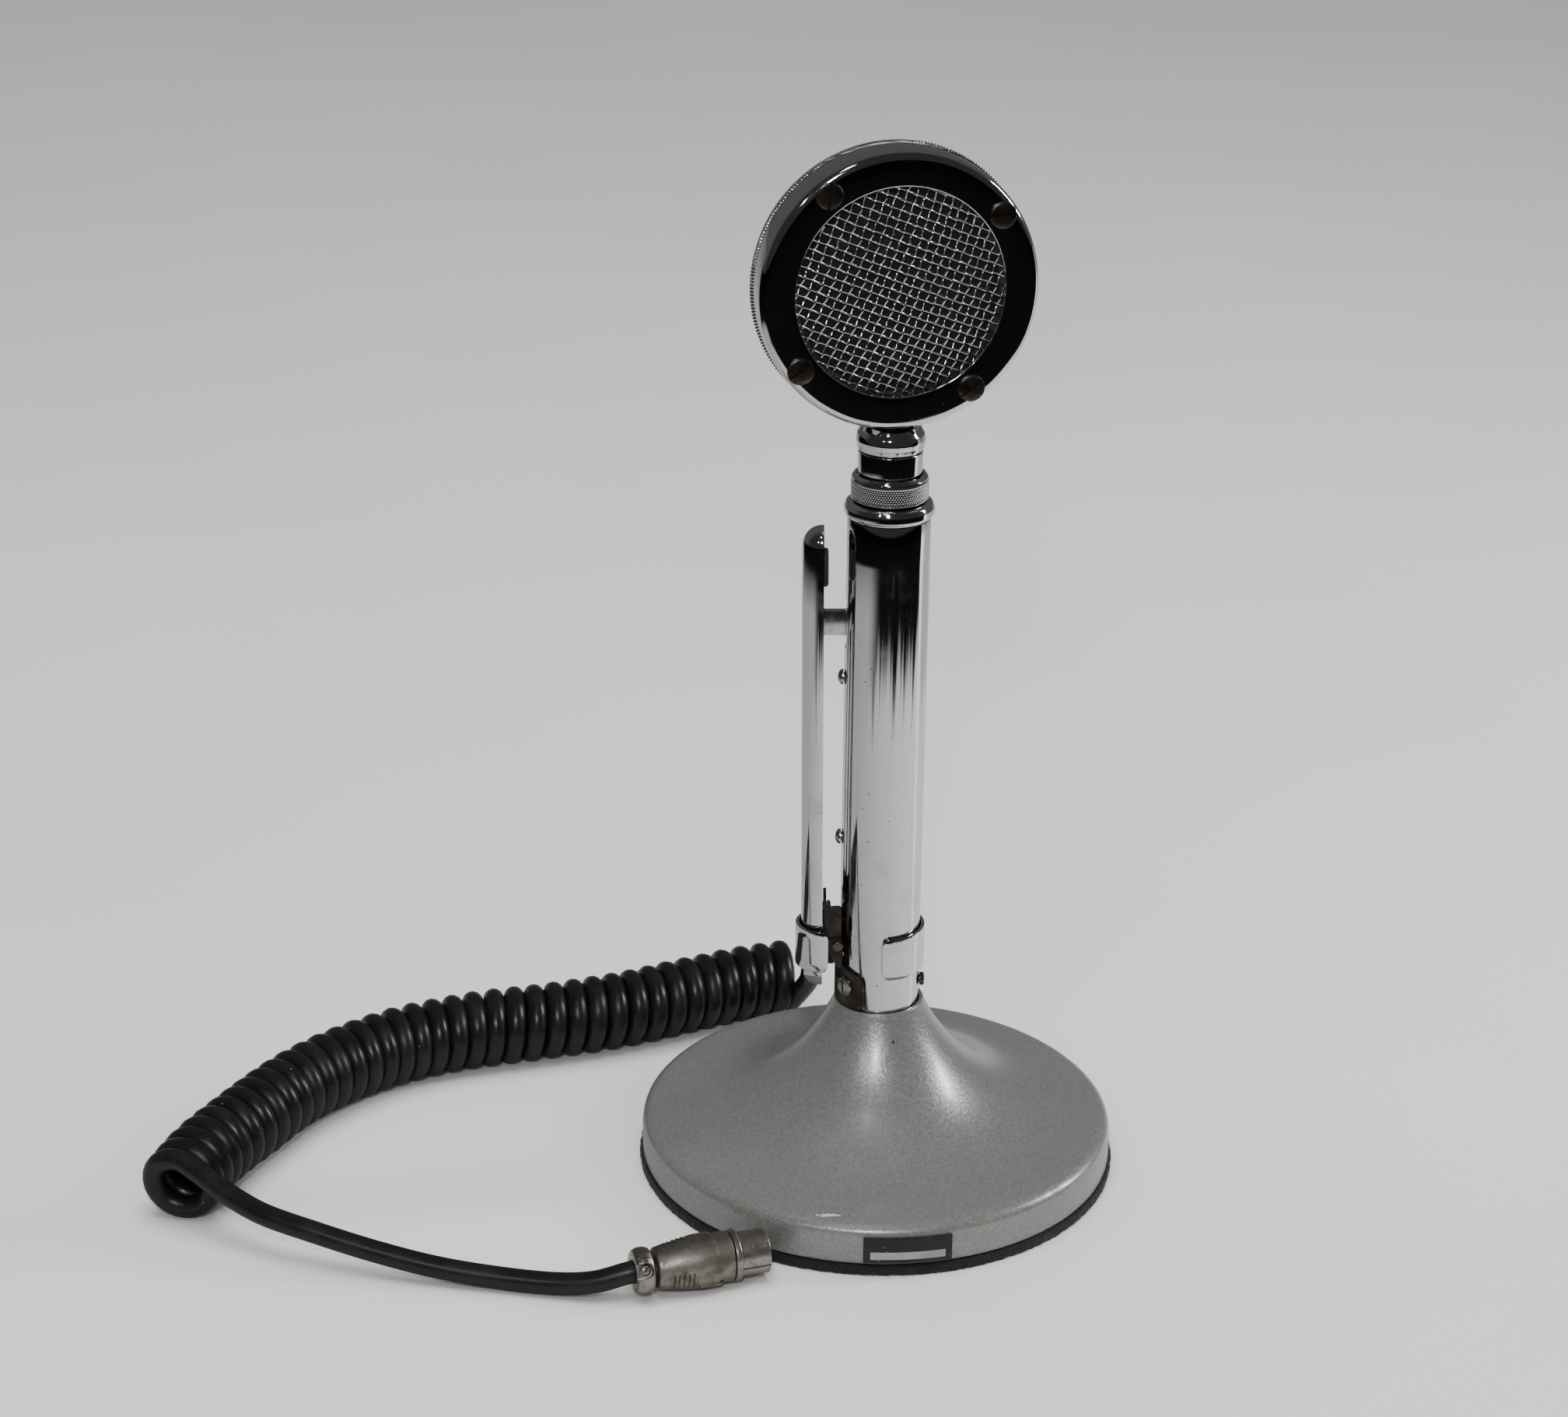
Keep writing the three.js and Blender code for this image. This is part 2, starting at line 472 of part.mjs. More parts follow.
/** The plug in its own frame: +Z runs from the cord to the open end of the barrel. */
function buildPlug(group) {
  const { length, radius, bore, screwAzimuth } = CLAMP;
  const clamp = lathe([
    [bore, 0], [radius - 1.4, 0], [radius - 0.3, 1.2], [radius, 2.6], [radius, length - 2],
    [radius - 0.4, length - 0.6], [radius - 1.2, length], [bore, length],
  ], 24);
  const pocket = outwards(disc(2.3, radius - 1.6, radius + 3, 20), screwAzimuth, length / 2);
  piece(group, 'plug_clamp', cut(clamp, pocket), NICKEL);
  const clampScrew = lathe([
    [0, radius - 1.2], [1.9, radius - 1.2], [1.9, radius - 0.6], [1.3, radius - 0.1], [0, radius + 0.1],
  ], 14);
  piece(group, 'plug_clamp_screw', outwards(clampScrew, screwAzimuth, length / 2), NICKEL);

  const { from, shoulder, belly, to, neck, rear, bellyRadius, front, wall } = SHELL;
  const shell = lathe([
    [neck - wall, from], [neck, from], [neck, shoulder - 0.9], [rear - 0.5, shoulder - 0.9],
    [rear, shoulder - 0.3], [rear + 0.9, 14], [bellyRadius - 0.2, 18], [bellyRadius, belly],
    [bellyRadius, belly + 3], [front, to - 4], [front, to], [front - wall, to],
    [front - wall, shoulder + 3], [neck - wall, shoulder + 1],
  ], 32);
  const latchRoomHalf = LATCH.halfWidth + GAP;
  const latchRoom = box([3, -latchRoomHalf, LATCH.from - GAP], [12, latchRoomHalf, LATCH.to + GAP])
    .rotateZ(rad(LATCH.azimuth));
  piece(group, 'plug_shell', cut(shell, latchRoom), NICKEL);
  piece(group, 'plug_latch', box(
    [bellyRadius - 1.9, -LATCH.halfWidth, LATCH.from], [bellyRadius + 0.35, LATCH.halfWidth, LATCH.to],
  ).rotateZ(rad(LATCH.azimuth)), NICKEL);
  piece(group, 'plug_ring', washer(front - wall, RING.radius, RING.from, RING.to, 32), NICKEL);

  const barrel = washer(BARREL.radius - BARREL.wall, BARREL.radius, BARREL.from, BARREL.to, 32);
  const keyway = box([BARREL.radius - 0.35, -1.1, BARREL.from - 1], [BARREL.radius + 1, 1.1, BARREL.to + 1])
    .rotateZ(rad(BARREL.keyAzimuth));
  piece(group, 'plug_barrel', cut(barrel, keyway), NICKEL);
  const contactHoles = [90, 210, 330].map((angle) =>
    disc(1.1, BARREL.from + 1, BARREL.to + 1, 16).translate(...polar(3.2, angle), 0));
  const face = disc(5.75, BARREL.from + 0.4, BARREL.to - 0.8, 32);
  piece(group, 'plug_insert', cut(face, ...contactHoles), BAKELITE);
}

// ---- assembly -----------------------------------------------------------------------------

const group = new THREE.Group();
buildBase(group);
buildTube(group);
buildMovingContact(group);
buildBracket(group);
buildHingePins(group);
buildSlide(group);

const lever = new THREE.Group();
lever.position.set(PIVOT.x, 0, PIVOT.z);
lever.rotation.y = rad(LEVER.lean);
const leverParts = new THREE.Group();
leverParts.position.set(-PIVOT.x, 0, -PIVOT.z);
buildLever(leverParts);
lever.add(leverParts);
group.add(lever);

buildCouplingRing(group);
const turned = new THREE.Group();
turned.rotation.z = rad(HEAD_YAW);
buildNeck(turned);
const head = new THREE.Group();
head.position.z = HEAD_Z;
head.rotation.x = Math.PI / 2;
buildHead(head);
turned.add(head);
group.add(turned);

buildCord(group);
const plug = new THREE.Group();
plug.position.set(...PLUG.rear);
plug.rotation.set(0, Math.PI / 2, rad(PLUG.bearing), 'ZYX');
buildPlug(plug);
group.add(plug);

export default group;
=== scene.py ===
"""Desk microphone on a grip-to-talk stand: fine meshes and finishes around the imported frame.

Sizes are written in millimetres and turned into metres when a piece is finished.
"""

import logging
import math
from dataclasses import dataclass
from enum import Enum
from typing import Callable, Sequence

import bmesh
import bpy
from mathutils import Matrix, Vector, noise


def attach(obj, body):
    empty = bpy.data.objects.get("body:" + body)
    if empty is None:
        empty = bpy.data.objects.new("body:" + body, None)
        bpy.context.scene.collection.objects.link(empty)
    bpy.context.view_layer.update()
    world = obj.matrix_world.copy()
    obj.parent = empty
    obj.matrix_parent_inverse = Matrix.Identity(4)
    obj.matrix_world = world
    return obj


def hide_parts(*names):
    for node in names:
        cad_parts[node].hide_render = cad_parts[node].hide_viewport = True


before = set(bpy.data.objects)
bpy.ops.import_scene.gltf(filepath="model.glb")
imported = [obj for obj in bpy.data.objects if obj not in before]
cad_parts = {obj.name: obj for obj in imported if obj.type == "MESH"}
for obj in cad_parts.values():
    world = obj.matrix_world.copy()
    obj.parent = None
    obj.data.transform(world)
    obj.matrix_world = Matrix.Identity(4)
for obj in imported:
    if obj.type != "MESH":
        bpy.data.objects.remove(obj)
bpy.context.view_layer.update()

LOG = logging.getLogger("desk_microphone")
MM = 0.001
GAP = 0.3
PIVOT = (-13.5, 0.0, 78.6)
HOLE_RADIUS = 1.35
Colour = tuple[float, float, float]
Point = tuple[float, ...]
Socket = bpy.types.NodeSocket
Sockets = bpy.types.bpy_prop_collection


class Body(str, Enum):
    """The moving bodies of the frame."""

    STAND = "stand"
    LEVER = "lever"
    SLIDE = "slide"
    HEAD = "head"
    RING = "ring"
    LATCH = "latch"


class Slot(str, Enum):
    """The record's material slots."""

    CHROME = "chrome"
    WIRE = "wire_mesh"
    PAINT = "base_paint"
    FELT = "felt"
    LABEL = "label"
    STEEL = "steel"
    OLD_BRASS = "old_brass"
    BRASS = "brass"
    ALUMINIUM = "aluminium"
    BAKELITE = "bakelite"
    RUBBER = "rubber"
    CORD = "cord_jacket"
    NICKEL = "nickel"


# ---- outlines ----


def on_circle(radius: float, angle: float) -> tuple[float, float]:
    """Returns the point at a radius and an angle in degrees."""
    return radius * math.cos(math.radians(angle)), radius * math.sin(math.radians(angle))


def turned(angle: float, axis: str) -> Matrix:
    """Returns the matrix that turns by an angle in degrees."""
    return Matrix.Rotation(math.radians(angle), 4, axis)


def moved(x: float, y: float, z: float) -> Matrix:
    """Returns the matrix that moves by a distance."""
    return Matrix.Translation((x, y, z))


def drawn_in(place: Vector, depth: float) -> Vector:
    """Returns a point moved some way towards the Z axis."""
    share = 1 - depth / math.hypot(place.x, place.y)
    return Vector((place.x * share, place.y * share, place.z))


def in_scene(name: str, data: bpy.types.ID) -> bpy.types.Object:
    """Returns a new object in the scene.

    Args:
        name: The object's name.
        data: What it shows.

    Returns:
        The object.
    """
    made = bpy.data.objects.new(name, data)
    bpy.context.scene.collection.objects.link(made)
    return made


def flowing(points: Sequence[Point], per_span: int) -> list[Point]:
    """Runs a smooth curve through points.

    Args:
        points: The points to pass through, of two or three numbers.
        per_span: How many steps are made between two points.

    Returns:
        The points on the curve, both ends among them.
    """
    ends = [points[0], *points, points[-1]]
    made: list[Point] = []
    for before, start, stop, after in zip(ends, ends[1:], ends[2:], ends[3:]):
        for step in range(per_span):
            t = step / per_span
            made.append(tuple(
                0.5 * (2 * b + (c - a) * t + (2 * a - 5 * b + 4 * c - d) * t * t
                       + (3 * b - a - 3 * c + d) * t ** 3)
                for a, b, c, d in zip(before, start, stop, after)))
    return [*made, tuple(points[-1])]


def rods(name: str, radius: float, sides: int) -> bpy.types.Curve:
    """Makes a curve that gives its lines a round section.

    Args:
        name: The curve's name.
        radius: The section's radius.
        sides: How fine the section is, as Blender's bevel resolution.

    Returns:
        The curve, with no line in it yet.
    """
    made = bpy.data.curves.new(name, "CURVE")
    made.dimensions = "3D"
    made.bevel_depth = radius
    made.bevel_resolution = sides
    made.use_fill_caps = True
    return made


def add_line(curve: bpy.types.Curve, points: Sequence[Point]) -> bpy.types.Spline:
    """Adds a line through points to a curve.

    Args:
        curve: The curve.
        points: The line's points.

    Returns:
        The line.
    """
    spline = curve.splines.new("POLY")
    spline.points.add(len(points) - 1)
    for spot, point in zip(spline.points, points):
        spot.co = (*point, 1.0)
    return spline


def filleted(points: Sequence[Point], closed: bool, steps: int = 4) -> list[tuple[float, float]]:
    """Rounds the corners of an outline.

    Args:
        points: (x, y) for a sharp corner, or (x, y, radius) for a round one.
        closed: Whether the last point is joined to the first.
        steps: How many edges each round corner has.

    Returns:
        The outline's points in order.
    """
    made: list[tuple[float, float]] = []
    count = len(points)
    for index, point in enumerate(points):
        here = Vector(point[:2])
        inside = closed or 0 < index < count - 1
        if len(point) < 3 or not inside:
            made.append(tuple(here))
            continue
        back = Vector(points[index - 1][:2]) - here
        ahead = Vector(points[(index + 1) % count][:2]) - here
        half = back.angle(ahead) / 2
        reach = min(point[2] / math.tan(half), 0.49 * back.length, 0.49 * ahead.length)
        radius = reach * math.tan(half)
        middle = here + (back.normalized() + ahead.normalized()).normalized() * (radius / math.sin(half))
        first = here + back.normalized() * reach - middle
        last = here + ahead.normalized() * reach - middle
        turn = math.atan2(first.x * last.y - first.y * last.x, first.dot(last))
        for step in range(steps + 1):
            made.append(tuple(middle + Matrix.Rotation(turn * step / steps, 2) @ first))
    return made


# ---- meshes ----


class Shape:
    """A mesh in the making, in millimetres."""

    def __init__(self) -> None:
        """Starts with nothing in it."""
        self.bm = bmesh.new()

    @classmethod
    def lathe(cls, profile: Sequence[Point], steps: int = 96, angle: float = 360.0,
              open_ended: bool = False) -> "Shape":
        """Turns a profile about Z.

        Args:
            profile: (radius, height) or (radius, height, corner radius) points. It closes on
                itself unless both ends are on the axis.
            steps: How many faces go round.
            angle: How far the profile is turned, in degrees.
            open_ended: Whether the profile stays open, for a one-face wall.

        Returns:
            The turned shape.
        """
        shape = cls()
        closed = not open_ended and any(point[0] for point in (profile[0], profile[-1]))
        points = filleted(profile, closed)
        verts = [shape.bm.verts.new((r, 0.0, h)) for r, h in points]
        chain = list(zip(verts, verts[1:]))
        if closed:
            chain.append((verts[-1], verts[0]))
        edges = [shape.bm.edges.new(pair) for pair in chain]
        bmesh.ops.spin(shape.bm, geom=[*verts, *edges], cent=(0, 0, 0), axis=(0, 0, 1), dvec=(0, 0, 0),
                       angle=math.radians(angle), steps=steps, use_merge=angle == 360.0,
                       use_normal_flip=False, use_duplicate=False)
        if closed and angle != 360.0:
            bmesh.ops.holes_fill(shape.bm, edges=shape.bm.edges, sides=0)
        return shape.welded()

    @classmethod
    def block(cls, low: Point, high: Point) -> "Shape":
        """Makes a box between two corners.

        Args:
            low: The lowest corner.
            high: The highest corner.

        Returns:
            The box.
        """
        shape = cls()
        size = Vector(high) - Vector(low)
        place = Matrix.Translation((Vector(high) + Vector(low)) / 2) @ Matrix.Diagonal((*size, 1.0))
        bmesh.ops.create_cube(shape.bm, size=1.0, matrix=place)
        return shape

    @classmethod
    def plate(cls, outline: Sequence[Point], low: float, high: float) -> "Shape":
        """Makes a flat sheet of an outline's shape, thick along Z.

        Args:
            outline: (x, y) points, or (x, y, radius) for a round corner.
            low: The height of its underside.
            high: The height of its top.

        Returns:
            The sheet.
        """
        shape = cls()
        face = shape.bm.faces.new([shape.bm.verts.new((x, y, low)) for x, y in filleted(outline, True)])
        grown = bmesh.ops.extrude_face_region(shape.bm, geom=[face])
        top = [item for item in grown["geom"] if isinstance(item, bmesh.types.BMVert)]
        bmesh.ops.translate(shape.bm, verts=top, vec=(0, 0, high - low))
        return shape.welded()

    @classmethod
    def band(cls, path: Sequence[Point], heights: Sequence[float]) -> "Shape":
        """Stands a strip up on a flat path.

        Args:
            path: The (x, y) points that the strip follows.
            heights: The heights of its rows, from the bottom up.

        Returns:
            The strip, one face thick.
        """
        shape = cls()
        verts = [shape.bm.verts.new((x, y, heights[0])) for x, y in path]
        row = [shape.bm.edges.new(pair) for pair in zip(verts, verts[1:])]
        for lower, upper in zip(heights, heights[1:]):
            grown = bmesh.ops.extrude_edge_only(shape.bm, edges=row)["geom"]
            row = [item for item in grown if isinstance(item, bmesh.types.BMEdge)]
            bmesh.ops.translate(shape.bm, verts=list({v for e in row for v in e.verts}),
                                vec=(0, 0, upper - lower))
        return shape

    def welded(self) -> "Shape":
        """Merges doubled points and turns the faces outwards.

        Returns:
            The same shape.
        """
        bmesh.ops.remove_doubles(self.bm, verts=self.bm.verts, dist=1e-4)
        bmesh.ops.recalc_face_normals(self.bm, faces=self.bm.faces)
        return self

    def placed(self, matrix: Matrix) -> "Shape":
        """Moves the shape by a matrix."""
        bmesh.ops.transform(self.bm, matrix=matrix, verts=self.bm.verts)
        return self

    def eased(self, width: float, segments: int = 2, limit: float = 35.0) -> "Shape":
        """Bevels every edge that is sharper than a limit in degrees.

        Args:
            width: The bevel's width.
            segments: How many faces the bevel has across.
            limit: The angle.

        Returns:
            The same shape.
        """
        sharp = [e for e in self.bm.edges
                 if len(e.link_faces) == 2 and e.calc_face_angle() > math.radians(limit)]
        bmesh.ops.bevel(self.bm, geom=sharp, offset=width, offset_type="OFFSET", segments=segments,
                        profile=0.5, affect="EDGES", clamp_overlap=True, material=-1)
        return self

    def shifted(self, move: Callable[[Vector], Vector]) -> "Shape":
        """Moves each point by a rule.

        Args:
            move: Gives a point's new place.

        Returns:
            The same shape.
        """
        for vert in self.bm.verts:
            vert.co = move(vert.co)
        return self

    def with_part(self, other: "Shape") -> "Shape":
        """Adds another shape's faces to this one.

        Args:
            other: The other shape, which is used up.

        Returns:
            The same shape.
        """
        mesh = bpy.data.meshes.new("part")
        other.bm.to_mesh(mesh)
        other.bm.free()
        return self.taking(mesh)

    def taking(self, mesh: bpy.types.Mesh) -> "Shape":
        """Adds a mesh's faces to the shape and removes the mesh.

        Args:
            mesh: The mesh.

        Returns:
            The same shape.
        """
        self.bm.from_mesh(mesh)
        bpy.data.meshes.remove(mesh)
        return self

    def modified(self, kind: str, **settings: object) -> "Shape":
        """Puts the shape through one of Blender's modifiers.

        Args:
            kind: The modifier's type.
            **settings: Its settings.

        Returns:
            The shape that comes out.
        """
        work = self.as_object("work")
        modifier = work.modifiers.new("step", kind)
        for key, value in settings.items():
            setattr(modifier, key, value)
        done = bpy.data.meshes.new_from_object(work.evaluated_get(bpy.context.evaluated_depsgraph_get()))
        self.bm.free()
        self.bm = bmesh.new()
        self.taking(done)
        bpy.data.meshes.remove(work.data)
        return self

    def cut_by(self, *cutters: "Shape") -> "Shape":
        """Takes other shapes away from this one.

        Args:
            *cutters: The other shapes, which are used up.

        Returns:
            The same shape.
        """
        for cutter in cutters:
            tool = cutter.as_object("tool")
            self.modified("BOOLEAN", operation="DIFFERENCE", solver="EXACT", object=tool)
            bpy.data.meshes.remove(tool.data)
            cutter.bm.free()
        return self

    def walled(self, thickness: float) -> "Shape":
        """Gives a one-face sheet a wall on its inner side."""
        return self.modified("SOLIDIFY", thickness=thickness, offset=-1.0, use_even_offset=True)

    def as_object(self, name: str) -> bpy.types.Object:
        """Returns an object that holds a copy of the mesh.

        Args:
            name: The object's name.

        Returns:
            The object.
        """
        mesh = bpy.data.meshes.new(name)
        self.bm.to_mesh(mesh)
        return in_scene(name, mesh)

    def finished(self, name: str, body: Body, look: "Finish", *nodes: str,
                 crisp: float = 38.0) -> bpy.types.Object:
        """Makes the shape a piece of the object.

        Args:
            name: The piece's name.
            body: The body that it moves with.
            look: Its finish.
            *nodes: The frame's parts that it stands for.
            crisp: Edges sharper than this many degrees are shaded as edges.

        Returns:
            The piece, in metres.
        """
        for face in self.bm.faces:
            face.smooth = True
        for edge in self.bm.edges:
            edge.smooth = not (len(edge.link_faces) == 2
                               and edge.calc_face_angle() > math.radians(crisp))
        self.placed(Matrix.Scale(MM, 4))
        made = self.as_object(name)
        self.bm.free()
        return settled(made, body, look, *nodes)


def settled(piece: bpy.types.Object, body: Body, look: "Finish", *nodes: str) -> bpy.types.Object:
    """Gives a piece its finish and its body, and hides the frame parts that it stands for.

    Args:
        piece: The piece.
        body: The body that it moves with.
        look: Its finish.
        *nodes: The frame's parts that it stands for.

    Returns:
        The same piece.
    """
    piece.data.materials.clear()
    piece.data.materials.append(look.material())
    if nodes:
        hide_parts(*nodes)
    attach(piece, body.value)
    LOG.info("%s on %s, %d faces", piece.name, body.value,
             len(piece.data.polygons) if piece.type == "MESH" else 0)
    return piece


def dressed(look: "Finish", *nodes: str) -> None:
    """Gives frame parts that stay as they are a finish.

    Args:
        look: The finish.
        *nodes: The parts.
    """
    for node in nodes:
        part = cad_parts[node]
        part.data.materials.clear()
        part.data.materials.append(look.material())
        LOG.info("%s keeps its frame shape", node)


# ---- material graphs ----


class Graph:
    """Adds and joins the nodes of one tree."""

    def __init__(self, tree: bpy.types.NodeTree) -> None:
        """Takes the tree to work on."""
        self.tree = tree

    def node(self, kind: str, inputs: dict | None = None, **settings: object) -> bpy.types.Node:
        """Adds a node.

        Args:
            kind: The node's type, without its ShaderNode prefix.
            inputs: Socket name or number to a value, or to a socket to join.
            **settings: The node's own settings.

        Returns:
            The new node.
        """
        prefix = "" if kind.startswith("Node") else "ShaderNode"
        made = self.tree.nodes.new(prefix + kind)
        for key, value in settings.items():
            setattr(made, key, value)
        self.feed(made, inputs or {})
        return made

    def feed(self, node: bpy.types.Node, inputs: dict) -> None:
        """Sets a node's inputs.

        Args:
            node: The node.
            inputs: Socket name or number to a value, or to a socket to join.
        """
        for key, value in inputs.items():
            if isinstance(value, Socket):
                self.tree.links.new(value, node.inputs[key])
            else:
                node.inputs[key].default_value = value

    def math(self, operation: str, first: object, second: object = 0.0,
             clamp: bool = False) -> Socket:
        """Returns the result of a sum on two values."""
        return self.node("Math", {0: first, 1: second}, operation=operation, use_clamp=clamp).outputs[0]

    def mix(self, factor: object, first: object, second: object) -> Socket:
        """Returns a colour between two colours."""
        sockets = {0: factor, 6: as_rgba(first), 7: as_rgba(second)}
        return self.node("Mix", sockets, data_type="RGBA").outputs[2]

    def span(self, value: object, low: float, high: float, start: float = 0.0,
             stop: float = 1.0, smooth: bool = False) -> Socket:
        """Returns a value moved from one range to another, held at its ends.

        Args:
            value: The value.
            low: Where its range starts.
            high: Where its range stops.
            start: What the start becomes.
            stop: What the stop becomes.
            smooth: Whether it eases in and out.

        Returns:
            The moved value.
        """
        sockets = {0: value, 1: low, 2: high, 3: start, 4: stop}
        kind = "SMOOTHSTEP" if smooth else "LINEAR"
        return self.node("MapRange", sockets, interpolation_type=kind).outputs[0]

    def place(self) -> Socket:
        """Returns the object coordinates."""
        return self.node("TexCoord").outputs["Object"]

    def plus(self, first: object, second: object, clamp: bool = False) -> Socket:
        """Returns two values added up."""
        return self.math("ADD", first, second, clamp)

    def times(self, first: object, second: object) -> Socket:
        """Returns two values multiplied."""
        return self.math("MULTIPLY", first, second)

    def vector(self, operation: str, second: object, first: Socket | None = None) -> Socket:
        """Returns the result of a sum on the object coordinates, or on another vector."""
        sockets = {0: self.place() if first is None else first, 1: second}
        return self.node("VectorMath", sockets, operation=operation).outputs[0]

    def distance(self, vector: Socket) -> Socket:
        """Returns a vector's length."""
        return self.node("VectorMath", {0: vector}, operation="LENGTH").outputs["Value"]

    def noise(self, scale: object, detail: object, roughness: float = 0.5,
              vector: Socket | None = None) -> Socket:
        """Returns a cloud pattern on the object coordinates, or on another vector.

        Args:
            scale: How fine it is.
            detail: How many layers it has.
            roughness: How strong the fine layers are.
            vector: The other vector.

        Returns:
            The pattern, from 0 to 1.
        """
        sockets = {"Vector": self.place() if vector is None else vector, "Scale": scale,
                   "Detail": detail, "Roughness": roughness}
        return self.node("TexNoise", sockets).outputs[0]

    def bump(self, strength: float, distance: float, height: Socket) -> Socket:
        """Returns the normals of a surface that a height raises."""
        sockets = {"Strength": strength, "Distance": distance, "Height": height}
        return self.node("Bump", sockets).outputs[0]

    def effect(self, group: Callable[[], bpy.types.NodeTree], **inputs: object) -> Sockets:
        """Adds a shared effect with its own values and returns its outputs."""
        return self.node("Group", inputs, node_tree=group()).outputs


def as_rgba(value: object) -> object:
    """Returns a colour with its fourth number, and a socket unchanged."""
    return (*value, 1.0) if isinstance(value, tuple) and len(value) == 3 else value


def effect(*outputs: str, **inputs: object) -> Callable:
    """Makes a function that fills a node group into one that returns the group.

    Args:
        *outputs: The names of the group's outputs.
        **inputs: Each input's name and first value.

    Returns:
        The decorator.
    """

    def decorated(fill: Callable[[Graph, Sockets], Sequence[Socket]]) -> Callable:
        """Returns the function that gives the group.

        Args:
            fill: Fills the group and gives the values of its outputs.

        Returns:
            The function.
        """

        def group() -> bpy.types.NodeTree:
            """Returns the group, building it when it isn't there yet.

            Returns:
                The group.
            """
            found = bpy.data.node_groups.get(fill.__name__)
            if found:
                return found
            tree = bpy.data.node_groups.new(fill.__name__, "ShaderNodeTree")
            for key, value in inputs.items():
                kind = "NodeSocketVector" if isinstance(value, tuple) else "NodeSocketFloat"
                tree.interface.new_socket(key, in_out="INPUT", socket_type=kind).default_value = value
            for key in outputs:
                tree.interface.new_socket(key, in_out="OUTPUT", socket_type="NodeSocketFloat")
            graph = Graph(tree)
            given, wanted = graph.node("NodeGroupInput"), graph.node("NodeGroupOutput")
            graph.feed(wanted, dict(zip(outputs, fill(graph, given.outputs))))
            return tree

        return group

    return decorated


@effect("Mask", "Height", Scale=200.0, Detail=4.0, Low=0.4, High=0.6, Stretch=(1.0, 1.0, 1.0))
def mottle(graph: Graph, given: Sockets) -> Sequence[Socket]:
    """Uneven patches: Mask is where they are and Height is the raw pattern.

    Args:
        graph: The group's graph.
        given: Its input sockets.

    Returns:
        Each output's value.
    """
    pulled = graph.vector("MULTIPLY", given["Stretch"])
    cloud = graph.noise(given["Scale"], given["Detail"], 0.6, pulled)
    return graph.span(cloud, given["Low"], given["High"], smooth=True), cloud


@effect("Mask", Scale=700.0, Width=0.02, Stretch=(1.0, 1.0, 0.05))
def hairlines(graph: Graph, given: Sockets) -> Sequence[Socket]:
    """Fine scratches that run along one way.

    Args:
        graph: The group's graph.
        given: Its input sockets.

    Returns:
        Each output's value.
    """
    lines = graph.noise(given["Scale"], 2.0, vector=graph.vector("MULTIPLY", given["Stretch"]))
    away = graph.math("ABSOLUTE", graph.math("SUBTRACT", lines, 0.5))
    thin = graph.math("SUBTRACT", 1.0, graph.math("DIVIDE", away, given["Width"]), True)
    return [graph.times(thin, graph.span(graph.noise(90.0, 1.0), 0.5, 0.62, smooth=True))]


@effect("Mask", Scale=400.0, Size=0.3, Share=0.1)
def specks(graph: Graph, given: Sockets) -> Sequence[Socket]:
    """Scattered small round spots, such as pits in plating.

    Args:
        graph: The group's graph.
        given: Its input sockets.

    Returns:
        Each output's value.
    """
    cells = graph.node("TexVoronoi", {"Vector": graph.place(), "Scale": given["Scale"]})
    draws = graph.node("SeparateColor", {0: cells.outputs["Color"]}).outputs
    inside = graph.math("LESS_THAN", cells.outputs["Distance"], graph.times(given["Size"], draws[0]))
    return [graph.times(inside, graph.math("LESS_THAN", draws[1], given["Share"]))]


@effect("Mask", Distance=0.002, Amount=0.7)
def crevice_shade_and_grime(graph: Graph, given: Sockets) -> Sequence[Socket]:
    """Painted shade where surfaces meet: ambient occlusion, broken up by noise, darkens the colour where
    little open air reaches, and the metals also use it to turn rougher there, as grime would.

    Args:
        graph: The group's graph.
        given: Its input sockets.

    Returns:
        Each output's value.
    """
    # Painted shade: the occlusion mask stands in for the shade that falls in creases and corners.
    open_air = graph.node("AmbientOcclusion", {"Distance": given["Distance"]}, samples=8).outputs["AO"]
    shut = graph.span(open_air, 0.75, 0.25, smooth=True)
    uneven = graph.span(graph.noise(350.0, 3.0), 0.3, 0.6, 0.35, 1.0)
    return [graph.times(graph.times(shut, uneven), given["Amount"])]


@effect("Mask", Centre=(0.0, 0.0, 0.0), Reach=(0.001, 0.001, 0.001), Grain=900.0, Ragged=2.0)
def mark(graph: Graph, given: Sockets) -> Sequence[Socket]:
    """One ragged mark at a place on the surface.

    Args:
        graph: The group's graph.
        given: Its input sockets.

    Returns:
        Each output's value.
    """
    scaled = graph.vector("DIVIDE", given["Reach"], graph.vector("SUBTRACT", given["Centre"]))
    rough = graph.math("SUBTRACT", graph.noise(given["Grain"], 5.0, 0.7), 0.5)
    edge = graph.plus(graph.distance(scaled), graph.times(rough, given["Ragged"]))
    return [graph.span(edge, 1.0, 0.8, smooth=True)]


# ---- finishes ----


@dataclass(frozen=True)
class Finish:
    """A finish with a name and the record's slot that it belongs to."""

    name: str
    slot: Slot

    def material(self) -> bpy.types.Material:
        """Returns the finish's material, building it when it isn't there yet.

        Returns:
            The material.
        """
        found = bpy.data.materials.get(self.name)
        if found:
            return found
        made = bpy.data.materials.new(self.name)
        made.use_nodes = True
        shader = made.node_tree.nodes["Principled BSDF"]
        self.lay_on(Graph(made.node_tree), shader)
        return made

    def lay_on(self, graph: Graph, shader: bpy.types.Node) -> None:
        """Fills in the shader."""
        raise NotImplementedError


